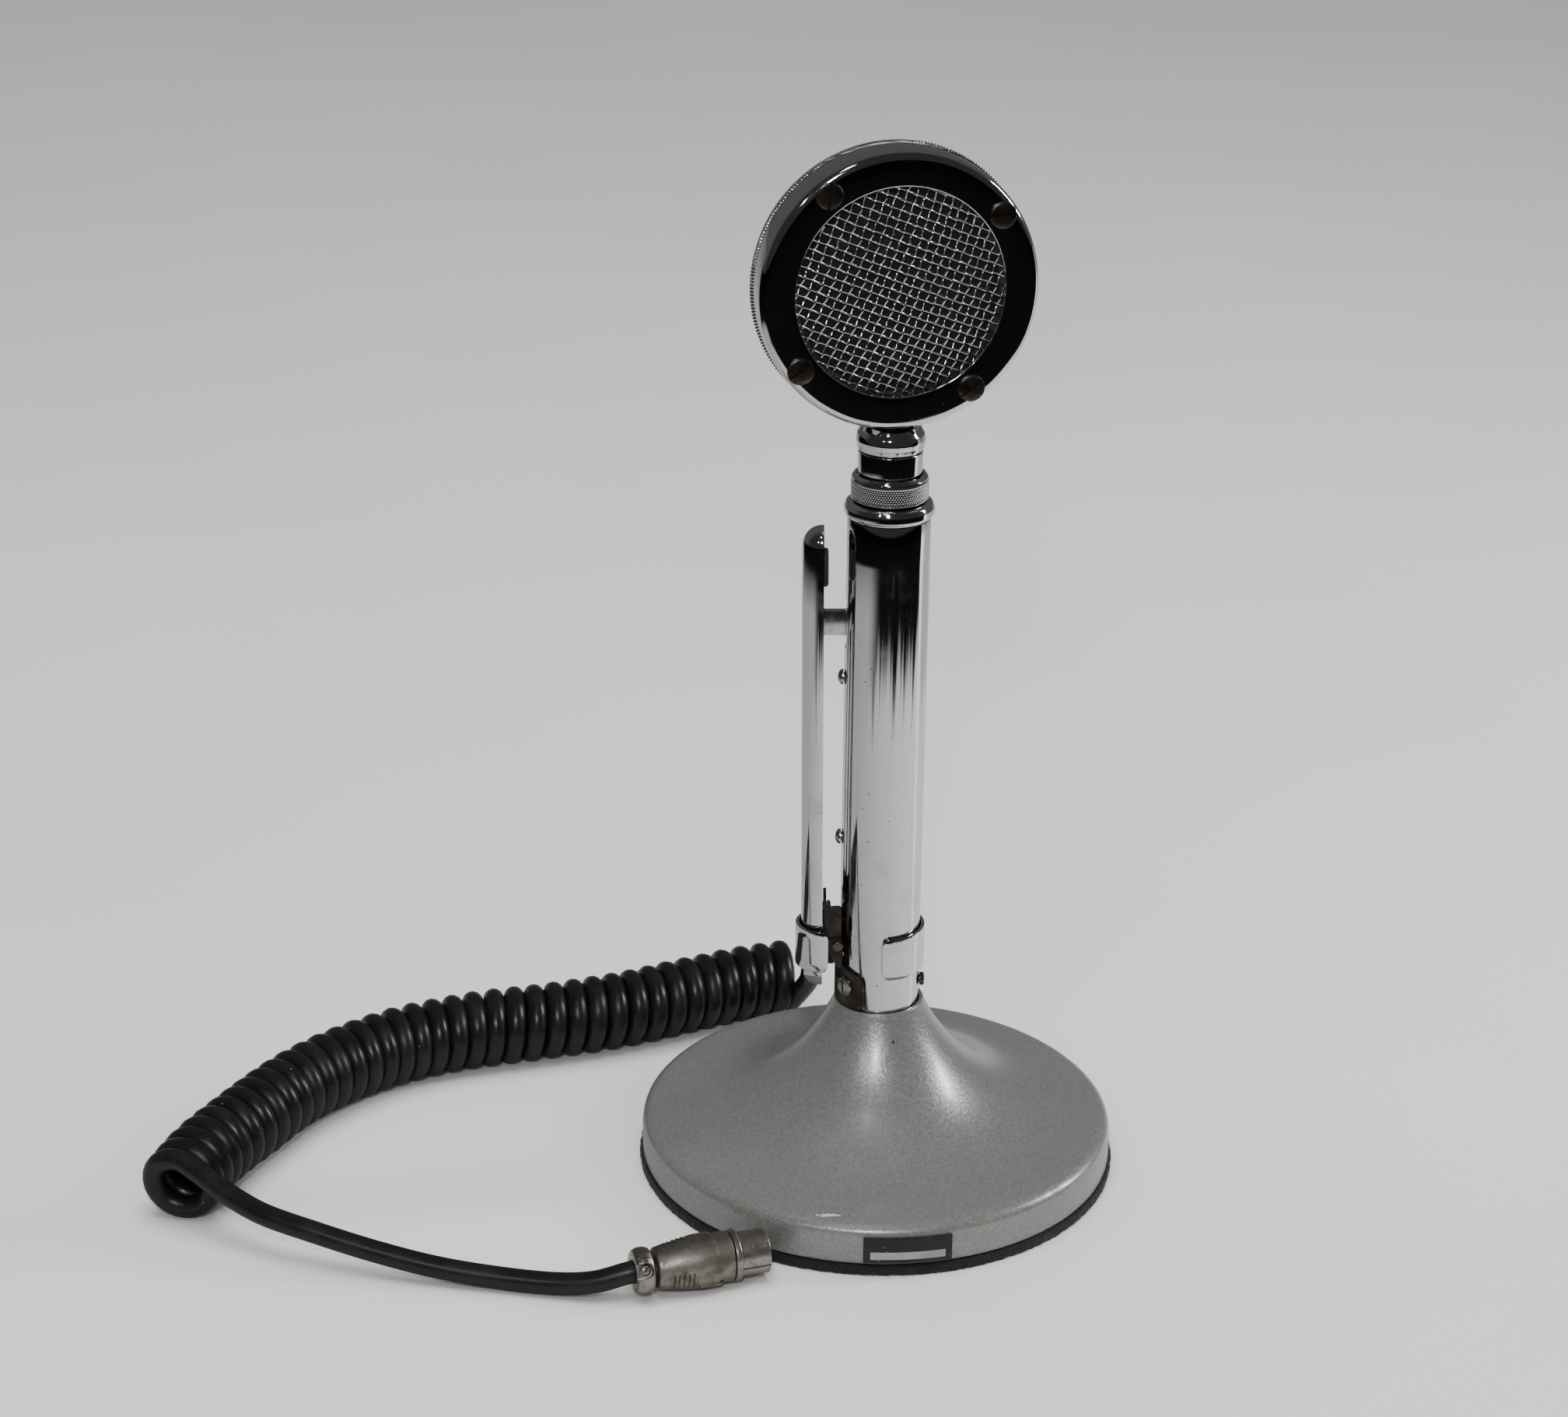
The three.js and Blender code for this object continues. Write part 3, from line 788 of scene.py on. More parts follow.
@dataclass(frozen=True)
class Metal(Finish):
    """Bare or plated metal with haze, hairlines, pits, and painted shade in its corners that also makes
    them rougher, as grime would.
    """

    colour: Colour = (0.77, 0.785, 0.81)
    dull: Colour = (0.66, 0.67, 0.69)
    gloss: float = 0.05
    hazed: float = 0.16
    haze_scale: float = 60.0
    haze_from: float = 0.5
    haze_to: float = 0.75
    grain: float = 0.0
    grain_scale: float = 900.0
    lines: float = 0.25
    line_stretch: Colour = (1.0, 1.0, 0.04)
    pits: float = 0.02
    pit_colour: Colour = (0.10, 0.07, 0.05)
    # Colour, strength and occlusion distance of the painted shade in the corners.
    shade_and_grime: Colour = (0.05, 0.035, 0.025)
    shade_and_grime_amount: float = 0.6
    shade_and_grime_reach: float = 0.0016
    metallic: float = 1.0

    def lay_on(self, graph: Graph, shader: bpy.types.Node) -> None:
        """Fills in the shader.

        Args:
            graph: The material's graph.
            shader: Its shader.
        """
        haze = graph.effect(mottle, Scale=self.haze_scale, Detail=5.0, Low=self.haze_from,
                            High=self.haze_to)
        fine = graph.effect(mottle, Scale=self.grain_scale, Detail=3.0, Low=0.3, High=0.7)
        lines = graph.effect(hairlines, Stretch=self.line_stretch)
        pits = graph.effect(specks, Scale=1100.0, Size=0.3, Share=self.pits)
        shade_and_grime = graph.effect(crevice_shade_and_grime, Distance=self.shade_and_grime_reach, Amount=self.shade_and_grime_amount)
        worn = graph.mix(haze["Mask"], self.colour, self.dull)
        pitted = graph.mix(pits["Mask"], worn, self.pit_colour)
        # Painted shade: the occlusion mask darkens the colour in corners and creases.
        colour = graph.mix(shade_and_grime["Mask"], pitted, self.shade_and_grime)
        dulled = graph.span(haze["Mask"], 0.0, 1.0, self.gloss, self.hazed)
        lined = graph.plus(dulled, graph.times(lines["Mask"], self.lines * 0.3))
        # The same occlusion mask also makes the corners rougher.
        soiled = graph.plus(lined, graph.times(shade_and_grime["Mask"], 0.4), True)
        height = graph.plus(graph.times(fine["Height"], self.grain),
                            graph.times(pits["Mask"], -0.3))
        bump = graph.bump(0.25, 0.00008, height)
        graph.feed(shader, {"Base Color": colour, "Roughness": soiled, "Normal": bump,
                            "Metallic": self.metallic})


@dataclass(frozen=True)
class HammeredPaint(Finish):
    """Silver-grey metallic lacquer with a fine pebbled surface, scuffs, chips, painted shade in its creases
    and one painted highlight on the front of the shoulder.
    """

    light: Colour = (0.30, 0.30, 0.29)
    dark: Colour = (0.22, 0.22, 0.213)
    # This brown-grey colours the scuff marks and also the painted shade in the creases.
    scuff_and_shade: Colour = (0.12, 0.10, 0.085)
    bare: Colour = (0.06, 0.035, 0.02)
    # The colour of the painted highlight on the front of the shoulder.
    pale: Colour = (0.75, 0.75, 0.72)
    pebble_scale: float = 880.0

    def lay_on(self, graph: Graph, shader: bpy.types.Node) -> None:
        """Fills in the shader.

        Args:
            graph: The material's graph.
            shader: Its shader.
        """
        pebble = graph.effect(mottle, Scale=self.pebble_scale, Detail=2.5, Low=0.30, High=0.70)
        flake = graph.effect(mottle, Scale=2600.0, Detail=2.0, Low=0.42, High=0.66)
        cloud = graph.effect(mottle, Scale=24.0, Detail=4.0, Low=0.35, High=0.7)
        base = graph.mix(graph.times(pebble["Mask"], 0.75), self.dark, self.light)
        base = graph.mix(graph.times(flake["Mask"], 0.3), base, (0.50, 0.50, 0.485))
        base = graph.mix(graph.times(cloud["Mask"], 0.16), base, self.dark)
        # Painted shade: the occlusion mask darkens the lacquer in its creases with the scuff colour.
        shade_and_grime = graph.effect(crevice_shade_and_grime, Distance=0.003, Amount=0.6)
        base = graph.mix(shade_and_grime["Mask"], base, self.scuff_and_shade)
        # Every mark, the painted highlight among them, is made rougher and less metallic.
        rubbed: object = 0.0
        for centre, reach, ragged, colour, share in self.marks():
            spot = graph.effect(mark, Centre=centre, Reach=reach, Grain=700.0, Ragged=ragged)
            part = graph.times(spot["Mask"], share)
            base = graph.mix(part, base, colour)
            rubbed = graph.math("MAXIMUM", rubbed, part)
        rough = graph.plus(graph.span(pebble["Height"], 0.3, 0.7, 0.28, 0.38),
                           graph.times(rubbed, 0.3), True)
        height = graph.math("SUBTRACT", pebble["Height"], graph.times(rubbed, 0.5))
        bump = graph.bump(0.42, 0.0002, height)
        plated = graph.math("SUBTRACT", 0.55, graph.times(rubbed, 0.4))
        graph.feed(shader, {"Base Color": base, "Roughness": rough, "Normal": bump, "Metallic": plated,
                            "Coat Weight": 0.35, "Coat Roughness": 0.16})

    def marks(self) -> list[tuple[Point, Point, float, Colour, float]]:
        """Returns each mark's centre, reach, raggedness, colour and strength.

        Returns:
            The marks, in metres.
        """
        return [
            ((0.0045, -0.0173, 0.0494), (0.0006, 0.0006, 0.0007), 0.8, self.bare, 1.0),
            ((-0.0545, -0.0480, 0.0162), (0.0062, 0.0030, 0.0016), 4.4, self.scuff_and_shade, 0.45),
            ((-0.0430, -0.0610, 0.0150), (0.0030, 0.0020, 0.0030), 4.4, self.scuff_and_shade, 0.45),
            ((-0.0240, -0.0440, 0.0225), (0.0034, 0.0012, 0.0012), 3.4, self.scuff_and_shade, 0.5),
            ((0.0310, -0.0680, 0.0158), (0.0050, 0.0024, 0.0016), 4.0, self.scuff_and_shade, 0.7),
            ((0.0560, -0.0500, 0.0150), (0.0030, 0.0020, 0.0016), 4.4, self.scuff_and_shade, 0.4),
            # Painted highlight: a pale streak along the front of the shoulder.
            ((-0.0165, -0.0690, 0.0172), (0.0040, 0.0007, 0.002), 3.2, self.pale, 0.7),
            ((0.0080, -0.0755, 0.0040), (0.060, 0.004, 0.0009), 2.6, self.scuff_and_shade, 0.4),
            ((0.0500, 0.0560, 0.0160), (0.0050, 0.0050, 0.0020), 4.4, self.scuff_and_shade, 0.5),
        ]


@dataclass(frozen=True)
class Cloth(Finish):
    """Felt or woven lining: matt, with short fibres."""

    colour: Colour = (0.006, 0.006, 0.007)
    fluff: Colour = (0.022, 0.022, 0.024)
    scale: float = 1500.0

    def lay_on(self, graph: Graph, shader: bpy.types.Node) -> None:
        """Fills in the shader.

        Args:
            graph: The material's graph.
            shader: Its shader.
        """
        fibres = graph.effect(mottle, Scale=self.scale, Detail=5.0, Low=0.4, High=0.75)
        dust = graph.effect(mottle, Scale=160.0, Detail=5.0, Low=0.5, High=0.8)
        colour = graph.mix(fibres["Mask"], self.colour, self.fluff)
        colour = graph.mix(graph.times(dust["Mask"], 0.25), colour, (0.07, 0.067, 0.064))
        bump = graph.bump(0.8, 0.0004, fibres["Height"])
        graph.feed(shader, {"Base Color": colour, "Normal": bump, "Roughness": 0.95,
                            "Sheen Weight": 0.08})


@dataclass(frozen=True)
class Moulded(Finish):
    """Rubber, plastic or printed foil: an even colour with grain, dust and rubbed patches."""

    colour: Colour = (0.014, 0.014, 0.015)
    rubbed: Colour = (0.035, 0.034, 0.034)
    gloss: float = 0.33
    matt: float = 0.5
    grain: float = 0.6
    grain_scale: float = 1400.0
    dust: float = 0.1
    dust_colour: Colour = (0.22, 0.21, 0.20)
    metallic: float = 0.0

    def lay_on(self, graph: Graph, shader: bpy.types.Node) -> None:
        """Fills in the shader.

        Args:
            graph: The material's graph.
            shader: Its shader.
        """
        patches = graph.effect(mottle, Scale=110.0, Detail=4.0, Low=0.35, High=0.7)
        fine = graph.effect(mottle, Scale=self.grain_scale, Detail=3.0, Low=0.3, High=0.7)
        dust = graph.effect(specks, Scale=520.0, Size=0.2, Share=self.dust)
        colour = graph.mix(patches["Mask"], self.colour, self.rubbed)
        colour = graph.mix(graph.times(dust["Mask"], 0.5), colour, self.dust_colour)
        rough = graph.span(patches["Mask"], 0.0, 1.0, self.gloss, self.matt)
        height = graph.times(fine["Height"], self.grain)
        bump = graph.bump(0.3, 0.0001, height)
        graph.feed(shader, {"Base Color": colour, "Roughness": rough, "Normal": bump,
                            "Metallic": self.metallic})


CHROME = Metal("chrome_plate", Slot.CHROME)
BEZEL_CHROME = Metal("chrome_bezel", Slot.CHROME, haze_scale=90.0, haze_from=0.55, haze_to=0.8,
                     hazed=0.2, lines=0.2, line_stretch=(0.5, 1.0, 0.3), pits=0.09)
SCREW_CHROME = Metal("chrome_screw", Slot.CHROME, colour=(0.115, 0.10, 0.09), dull=(0.07, 0.055, 0.046),
                     gloss=0.26, hazed=0.45, haze_scale=260.0, haze_from=0.35, haze_to=0.65,
                     shade_and_grime_amount=0.9, pits=0.2, grain=0.4)
WIRE_CHROME = Metal("chrome_wire", Slot.WIRE, colour=(0.84, 0.84, 0.83), dull=(0.6, 0.59, 0.57),
                    gloss=0.13, hazed=0.26, haze_scale=300.0, shade_and_grime_amount=0.75,
                    shade_and_grime_reach=0.0008, pits=0.0)
STEEL = Metal("plated_steel", Slot.STEEL, colour=(0.42, 0.40, 0.38), dull=(0.24, 0.21, 0.18),
              gloss=0.22, hazed=0.38, haze_scale=300.0, shade_and_grime_amount=0.8, grain=0.3, pits=0.1)
DARK_STEEL = Metal("dark_steel", Slot.STEEL, colour=(0.13, 0.115, 0.10), dull=(0.06, 0.05, 0.042),
                   gloss=0.3, hazed=0.5, haze_scale=240.0, shade_and_grime_amount=0.8, grain=0.6, pits=0.2)
BLADE_STEEL = Metal("brushed_blade", Slot.STEEL, colour=(0.66, 0.66, 0.66), dull=(0.52, 0.52, 0.52),
                    gloss=0.20, hazed=0.3, haze_scale=200.0, lines=0.8, grain=0.3, pits=0.02,
                    line_stretch=(0.06, 1.0, 1.0))
OLD_BRASS = Metal("oxidised_brass", Slot.OLD_BRASS, colour=(0.05, 0.041, 0.034),
                  dull=(0.022, 0.017, 0.014), gloss=0.36, hazed=0.62, haze_scale=170.0,
                  haze_from=0.35, haze_to=0.65, grain=1.0, lines=0.5, pits=0.2, metallic=0.5,
                  pit_colour=(0.16, 0.13, 0.10), shade_and_grime_amount=0.8)
BRASS = Metal("contact_brass", Slot.BRASS, colour=(0.68, 0.50, 0.24), dull=(0.42, 0.30, 0.15),
              gloss=0.2, hazed=0.35, haze_scale=160.0)
ALUMINIUM = Metal("spun_aluminium", Slot.ALUMINIUM, colour=(0.62, 0.63, 0.64), dull=(0.45, 0.45, 0.46),
                  gloss=0.28, hazed=0.4, grain=0.5, shade_and_grime_amount=0.4)
NICKEL = Metal("tarnished_nickel", Slot.NICKEL, colour=(0.40, 0.375, 0.335), dull=(0.22, 0.19, 0.155),
               gloss=0.42, hazed=0.6, haze_scale=210.0, haze_from=0.38, haze_to=0.66, grain=1.2,
               grain_scale=1100.0, lines=0.5, pits=0.3, pit_colour=(0.16, 0.12, 0.08),
               shade_and_grime=(0.06, 0.045, 0.03), shade_and_grime_amount=0.85, shade_and_grime_reach=0.0012)
BRIGHT_NICKEL = Metal("rubbed_nickel", Slot.NICKEL, colour=(0.50, 0.47, 0.425), dull=(0.32, 0.285, 0.24),
                      gloss=0.32, hazed=0.46, haze_scale=240.0, haze_from=0.42, haze_to=0.7, grain=0.8,
                      lines=0.6, pits=0.15, pit_colour=(0.2, 0.15, 0.1), shade_and_grime=(0.06, 0.045, 0.03),
                      shade_and_grime_amount=0.85, shade_and_grime_reach=0.0012)
PAINT = HammeredPaint("hammered_lacquer", Slot.PAINT)
FELT = Cloth("pressed_felt", Slot.FELT)
LINING = Cloth("grille_cloth", Slot.FELT, colour=(0.006, 0.006, 0.007), fluff=(0.016, 0.016, 0.017),
               scale=2400.0)
CORD_RUBBER = Moulded("cord_rubber", Slot.CORD, colour=(0.006, 0.006, 0.0065),
                      rubbed=(0.010, 0.010, 0.0105), gloss=0.30, matt=0.42, grain=0.5, dust=0.03)
RUBBER = Moulded("soft_rubber", Slot.RUBBER, colour=(0.02, 0.017, 0.015), rubbed=(0.045, 0.038, 0.033),
                 gloss=0.5, matt=0.7, dust=0.15)
BAKELITE = Moulded("dark_bakelite", Slot.BAKELITE, colour=(0.035, 0.02, 0.013),
                   rubbed=(0.06, 0.036, 0.024), gloss=0.25, matt=0.4, dust=0.05)
LABEL_FOIL = Moulded("label_foil", Slot.LABEL, colour=(0.008, 0.008, 0.012), rubbed=(0.016, 0.016, 0.02),
                     gloss=0.46, matt=0.58, dust=0.2)
LABEL_STRIP = Moulded("label_strip", Slot.LABEL, colour=(0.40, 0.40, 0.39), rubbed=(0.29, 0.285, 0.27),
                      gloss=0.4, matt=0.45, dust=0.3, dust_colour=(0.15, 0.13, 0.12), metallic=0.4)


# ---- screws ----


@dataclass(frozen=True)
class Screw:
    """A slotted screw that points along +Z, with its head's underside at height zero."""

    head: float
    height: float
    dome: float
    shank: float = 1.3
    length: float = 4.0
    slot_width: float = 0.8
    slot_depth: float = 0.7

    def shape(self, turn: float = 0.0) -> Shape:
        """Makes the screw.

        Args:
            turn: The slot's angle in degrees.

        Returns:
            The screw's shape.
        """
        edge = self.height - self.dome
        crown = [(self.head * math.cos(a), edge + self.dome * math.sin(a))
                 for a in (0.0, 0.3, 0.6, 0.9, 1.2)]
        profile = [(0, -self.length), (self.shank, -self.length), (self.shank, 0), (self.head, 0),
                   *crown, (0, self.height)]
        reach = self.head + 1
        half = self.slot_width / 2
        slot = Shape.block((-reach, -half, self.height - self.slot_depth), (reach, half, self.height + 1))
        slot.placed(turned(turn, "Z"))
        return Shape.lathe(profile, 40).cut_by(slot).eased(0.07, 1, 50.0)


def outward(azimuth: float, height: float) -> Matrix:
    """Returns the matrix that points +Z out of the tube at an azimuth and a height."""
    return (moved(0, 0, height) @ turned(azimuth, "Z")
            @ turned(90, "Y"))


# ---- base ----


@dataclass
class Base:
    """The felt, the heavy casting and its label."""

    felt_radius: float = 76.9
    felt_height: float = 3.2
    radius: float = 75.9
    bore: float = 13.0
    label_azimuth: float = 6.4
    label_width: float = 27.5
    label_low: float = 4.6
    label_high: float = 13.4

    def build(self) -> None:
        """Builds and dresses the whole base."""
        self.felt()
        self.casting()
        self.label()
        dressed(STEEL, "base_plate", "base_bolt", "tube_foot_plug")

    def felt(self) -> None:
        """Makes the felt, with an uneven cut edge."""
        rim, top = self.felt_radius, self.felt_height
        shape = Shape.lathe([
            (0, 0), (rim - 4, 0), (rim - 0.4, 0.05, 0.4), (rim, 0.9), (rim, 1.6), (rim, 2.4),
            (rim - 0.4, top, 0.4), (rim - 4, top), (0, top),
        ], 420)

        def frayed(place: Vector) -> Vector:
            """Returns the point moved out or in by the felt's uneven edge.

            Args:
                place: The point.

            Returns:
                Its new place.
            """
            if math.hypot(place.x, place.y) < rim - 2:
                return place
            wave = noise.noise(place * 0.9) * 0.4 + noise.noise(place * 2.3) * 0.35 - 0.15
            return drawn_in(place, -wave)

        shape.shifted(frayed).finished("felt_ring", Body.STAND, FELT, "felt_pad")

    def casting(self) -> None:
        """Makes the trumpet-shaped casting."""
        flank = flowing([(self.radius, 12.2), (75.35, 14.5), (73.6, 16.1), (70.6, 16.95), (60, 18.6),
                         (50, 21.4), (40.4, 26), (32.3, 31.9), (26, 38.2), (21.2, 44.5), (17.6, 50.2),
                         (15, 55.2)], 5)
        shape = Shape.lathe([
            (self.radius, 3.5, 0.9), *flank, (14.2, 57.4, 0.5), (self.bore, 57.4, 0.3), (self.bore, 20),
            (9.5, 20), (9.5, 16), (24, 16), (24, 5.6), (68, 5.6), (68, 3.5),
        ], 200)
        shape.finished("trumpet_base", Body.STAND, PAINT, "base_casting", crisp=30)

    def label(self) -> None:
        """Makes the blank foil label and its lighter strip."""
        around = math.degrees(self.label_width / self.radius)
        self._arc_plate(0.25, 0.6, self.label_low, self.label_high, around, 0.25).finished(
            "base_label", Body.STAND, LABEL_FOIL, "label_plate")
        strip = self._arc_plate(0.86, 0.05, self.label_low + 1.35, self.label_low + 3.9, around * 0.84, 0.0)
        strip.finished("base_label_strip", Body.STAND, LABEL_STRIP)

    def _arc_plate(self, proud: float, thick: float, low: float, high: float, around: float,
                   easing: float) -> Shape:
        """Returns a plate bent round the base's side.

        Args:
            proud: How far it stands off the side.
            thick: Its thickness.
            low: The height of its lower edge.
            high: The height of its upper edge.
            around: How far it reaches round, in degrees.
            easing: The width of its bevel, or 0 for none.

        Returns:
            The plate.
        """
        inner = self.radius + proud
        start = self.label_azimuth - 90 - around / 2
        shape = Shape.lathe([(inner, low), (inner + thick, low), (inner + thick, high), (inner, high)],
                            24, around)
        shape.placed(turned(start, "Z"))
        return shape.eased(easing, 2) if easing else shape


# ---- tube ----


@dataclass
class Tube:
    """The upright tube, its collar, its screws and the switch inside."""

    radius: float = 12.7
    wall: float = 1.2
    bottom: float = 22.0
    top: float = 220.4
    slot_low: float = 177.5
    slot_high: float = 193.5
    slot_half: float = 2.6
    columns: int = 144

    def build(self) -> None:
        """Builds and dresses the tube and what is fixed to it."""
        self.barrel()
        self.collar()
        self.screws()
        self.grommet()
        dressed(BAKELITE, "socket_insert", "switch_strip", "contact_block")
        dressed(BRASS, "socket_contact", "fixed_contact", "moving_contact")

    def barrel(self) -> None:
        """Makes the tube with the blade's slot through its wall."""
        rows = [self.bottom, 60, 100, 140, self.slot_low, self.slot_low + 1.6, self.slot_high - 1.6,
                self.slot_high, 207, self.top]
        shape = Shape.lathe([(self.radius, z) for z in rows], self.columns, open_ended=True)
        for face in shape.bm.faces:
            if face.calc_center_median().dot(face.normal) < 0:
                face.normal_flip()
        window = [f for f in shape.bm.faces if self._in_slot(f.calc_center_median())]
        bmesh.ops.delete(shape.bm, geom=window, context="FACES")
        shape.walled(self.wall).eased(0.18, 2, 60).finished("bright_tube", Body.STAND, CHROME, "stand_tube")

    def _in_slot(self, place: Vector) -> bool:
        """Tells whether a point on the wall is in the blade's slot."""
        return (place.x < 0 and abs(place.y) < self.slot_half and self.slot_low < place.z < self.slot_high)

    def collar(self) -> None:
        """Makes the turned collar at the tube's top."""
        Shape.lathe([
            (6.6, 212), (11.2, 212), (11.2, 220.7), (12.8, 220.7, 0.3), (13.75, 221.9, 0.7),
            (13.75, 223.7, 0.7), (13.1, 225.1, 0.8), (11.8, 225.7, 0.3), (7.9, 225.7), (7.9, 229),
            (6.6, 229),
        ], 120).finished("turned_collar", Body.STAND, CHROME, "tube_collar")

    def screws(self) -> None:
        """Makes the two round heads behind the lever and the small screw at the side."""
        head = Screw(head=2.45, height=1.8, dome=1.5, shank=1.4, length=4.0)
        for index, (height, turn) in enumerate([(167.5, 20), (113.3, 75)], 1):
            shape = head.shape(turn).placed(outward(180, height) @ moved(0, 0, 13.0))
            shape.finished(f"switch_screw_{index}", Body.STAND, BLADE_STEEL, f"tube_screw_{index}")
        side = Screw(head=2.1, height=1.6, dome=0.5, length=3.4).shape(30)
        side.placed(outward(0, 63.4) @ moved(0, 0, 13.0))
        side.finished("foot_screw", Body.STAND, DARK_STEEL, "side_screw")

    def grommet(self) -> None:
        """Makes the soft bush where the cord leaves the tube."""
        shape = Shape.lathe([(3.5, 10.4), (4.1, 10.4), (4.1, 13.0), (4.9, 13.0, 0.3), (4.9, 14.2, 0.5),
                             (4.3, 16.2, 0.4), (3.5, 16.4, 0.2)], 48)
        shape.placed(outward(90, 64.5)).finished("cord_bush", Body.STAND, RUBBER, "cord_grommet")


# ---- hinge bracket ----


@dataclass
class Bracket:
    """The strap round the tube's foot with the two ears that carry the lever."""

    inner: float = 13.0
    thick: float = 1.2
    low: float = 58.2
    back_top: float = 69.0
    front_top: float = 72.6
    front_screw: float = 220.0
    back_screw: float = 125.0
    screw_height: float = 65.2

    def build(self) -> None:
        """Builds and dresses the bracket, its screws and its pins."""
        strap = self._strap(112, 180, self.back_top).with_part(self._strap(180, 248, self.front_top))
        for side, foot in ((-1, 70.4), (1, 62.0)):
            strap.with_part(self._ear(side, foot))
        strap.finished("ear_bracket", Body.STAND, OLD_BRASS, "hinge_bracket")
        screw = Screw(head=3.3, height=1.2, dome=0.6, length=2.2, slot_width=0.75)
        reach = self.inner + self.thick + 0.1
        for name, azimuth, turn in (("front", self.front_screw, 8), ("back", self.back_screw, 50)):
            shape = screw.shape(turn).placed(outward(azimuth, self.screw_height)
                                             @ moved(0, 0, reach))
            shape.finished(f"strap_screw_{name}", Body.STAND, STEEL, f"bracket_screw_{name}")
        self._pins()

    def _strap(self, start: float, stop: float, top: float) -> Shape:
        """Returns one side of the strap, with its free lower corner rounded.

        Args:
            start: The azimuth where it starts, in degrees.
            stop: The azimuth where it stops.
            top: The height of its upper edge where it starts.

        Returns:
            The strap.
        """
        steps = 26
        path = [on_circle(self.inner + self.thick, start + (stop - start) * i / steps)
                for i in range(steps + 1)]
        shape = Shape.band(path, [self.low, self.low + 2, self.low + 5, top - 2, top])
        free = start if start < 150 else stop
        lean = (top - self.back_top) / (stop - start)
        corner = 2.4

        def rounded(place: Vector) -> Vector:
            """Returns the point moved where the top slopes and the free corners are cut round.

            Args:
                place: The point.

            Returns:
                Its new place.
            """
            azimuth = math.degrees(math.atan2(place.y, place.x)) % 360
            along = math.radians(abs(azimuth - free)) * self.inner
            share = (place.z - self.low) / (top - self.low)
            fall = lean * (azimuth - start) * share
            if along >= corner:
                return Vector((place.x, place.y, place.z - fall))
            round_off = corner - math.sqrt(max(0.0, corner ** 2 - (corner - along) ** 2))
            lift = 0.3 * round_off * (1 - share) - round_off * share
            return Vector((place.x, place.y, place.z - fall + lift))

        sheet = outward_sheet(shape.shifted(rounded), Vector((0, 0, 0)))
        return sheet.walled(self.thick).eased(0.22, 2, 50)

    def _ear(self, side: int, foot: float) -> Shape:
        """Returns one ear, a flat tab with the pin's hole.

        Args:
            side: 1 for the +Y side and -1 for the other.
            foot: The height of its lower edge.

        Returns:
            The ear.
        """
        outline = [(-12.0, foot), (-12.0, 78.6), (-12.2, 80.7), (-14.8, 80.7), (-17.0, 79.9), (-17.0, 77.0),
                   (-13.9, 71.6), (-13.3, foot)]
        return standing_plate(outline, 6.7, 7.8, side).eased(0.18, 2, 50)

    def _pins(self) -> None:
        """Makes the two hinge pins with their round heads."""
        for name, turn in (("front", 180), ("back", 0)):
            shape = Shape.lathe([(0, 4.8), (1.1, 4.8, 0.2), (1.1, 8.1), (1.9, 8.1, 0.2), (1.75, 8.75, 0.5),
                                 (0, 8.85)], 32)
            shape.placed(moved(*PIVOT) @ turned(turn, "Z") @ turned(-90, "X"))
            shape.finished(f"pivot_pin_{name}", Body.STAND, DARK_STEEL, f"hinge_pin_{name}")


def standing_plate(outline: Sequence[Point], inner: float, outer: float, side: int) -> Shape:
    """Makes a tab that stands on edge beside the XZ plane, with the hinge pin's hole in it.

    Args:
        outline: (x, z) points, or (x, z, radius) for a round corner.
        inner: How far its near face is from the plane.
        outer: How far its far face is.
        side: 1 for the +Y side and -1 for the other.

    Returns:
        The tab.
    """
    tab = Shape.plate([(x, -z, *more) for x, z, *more in outline], inner, outer)
    tab.placed(turned(-90, "X"))
    if side < 0:
        tab.placed(moved(0, -inner - outer, 0))
    hole = Shape.lathe([(0, -12), (HOLE_RADIUS, -12), (HOLE_RADIUS, 12), (0, 12)], 32)
    return tab.cut_by(hole.placed(moved(*PIVOT) @ turned(90, "X")))


def outward_sheet(shape: Shape, middle: Vector) -> Shape:
    """Turns the faces of an open sheet away from an upright axis through a point.

    Args:
        shape: The sheet.
        middle: The point.

    Returns:
        The same shape.
    """
    bmesh.ops.recalc_face_normals(shape.bm, faces=shape.bm.faces)
    lean = sum((f.calc_center_median() - middle).to_2d().dot(f.normal.to_2d()) for f in shape.bm.faces)
    if lean < 0:
        bmesh.ops.reverse_faces(shape.bm, faces=shape.bm.faces)
    return shape


# ---- grip lever ----


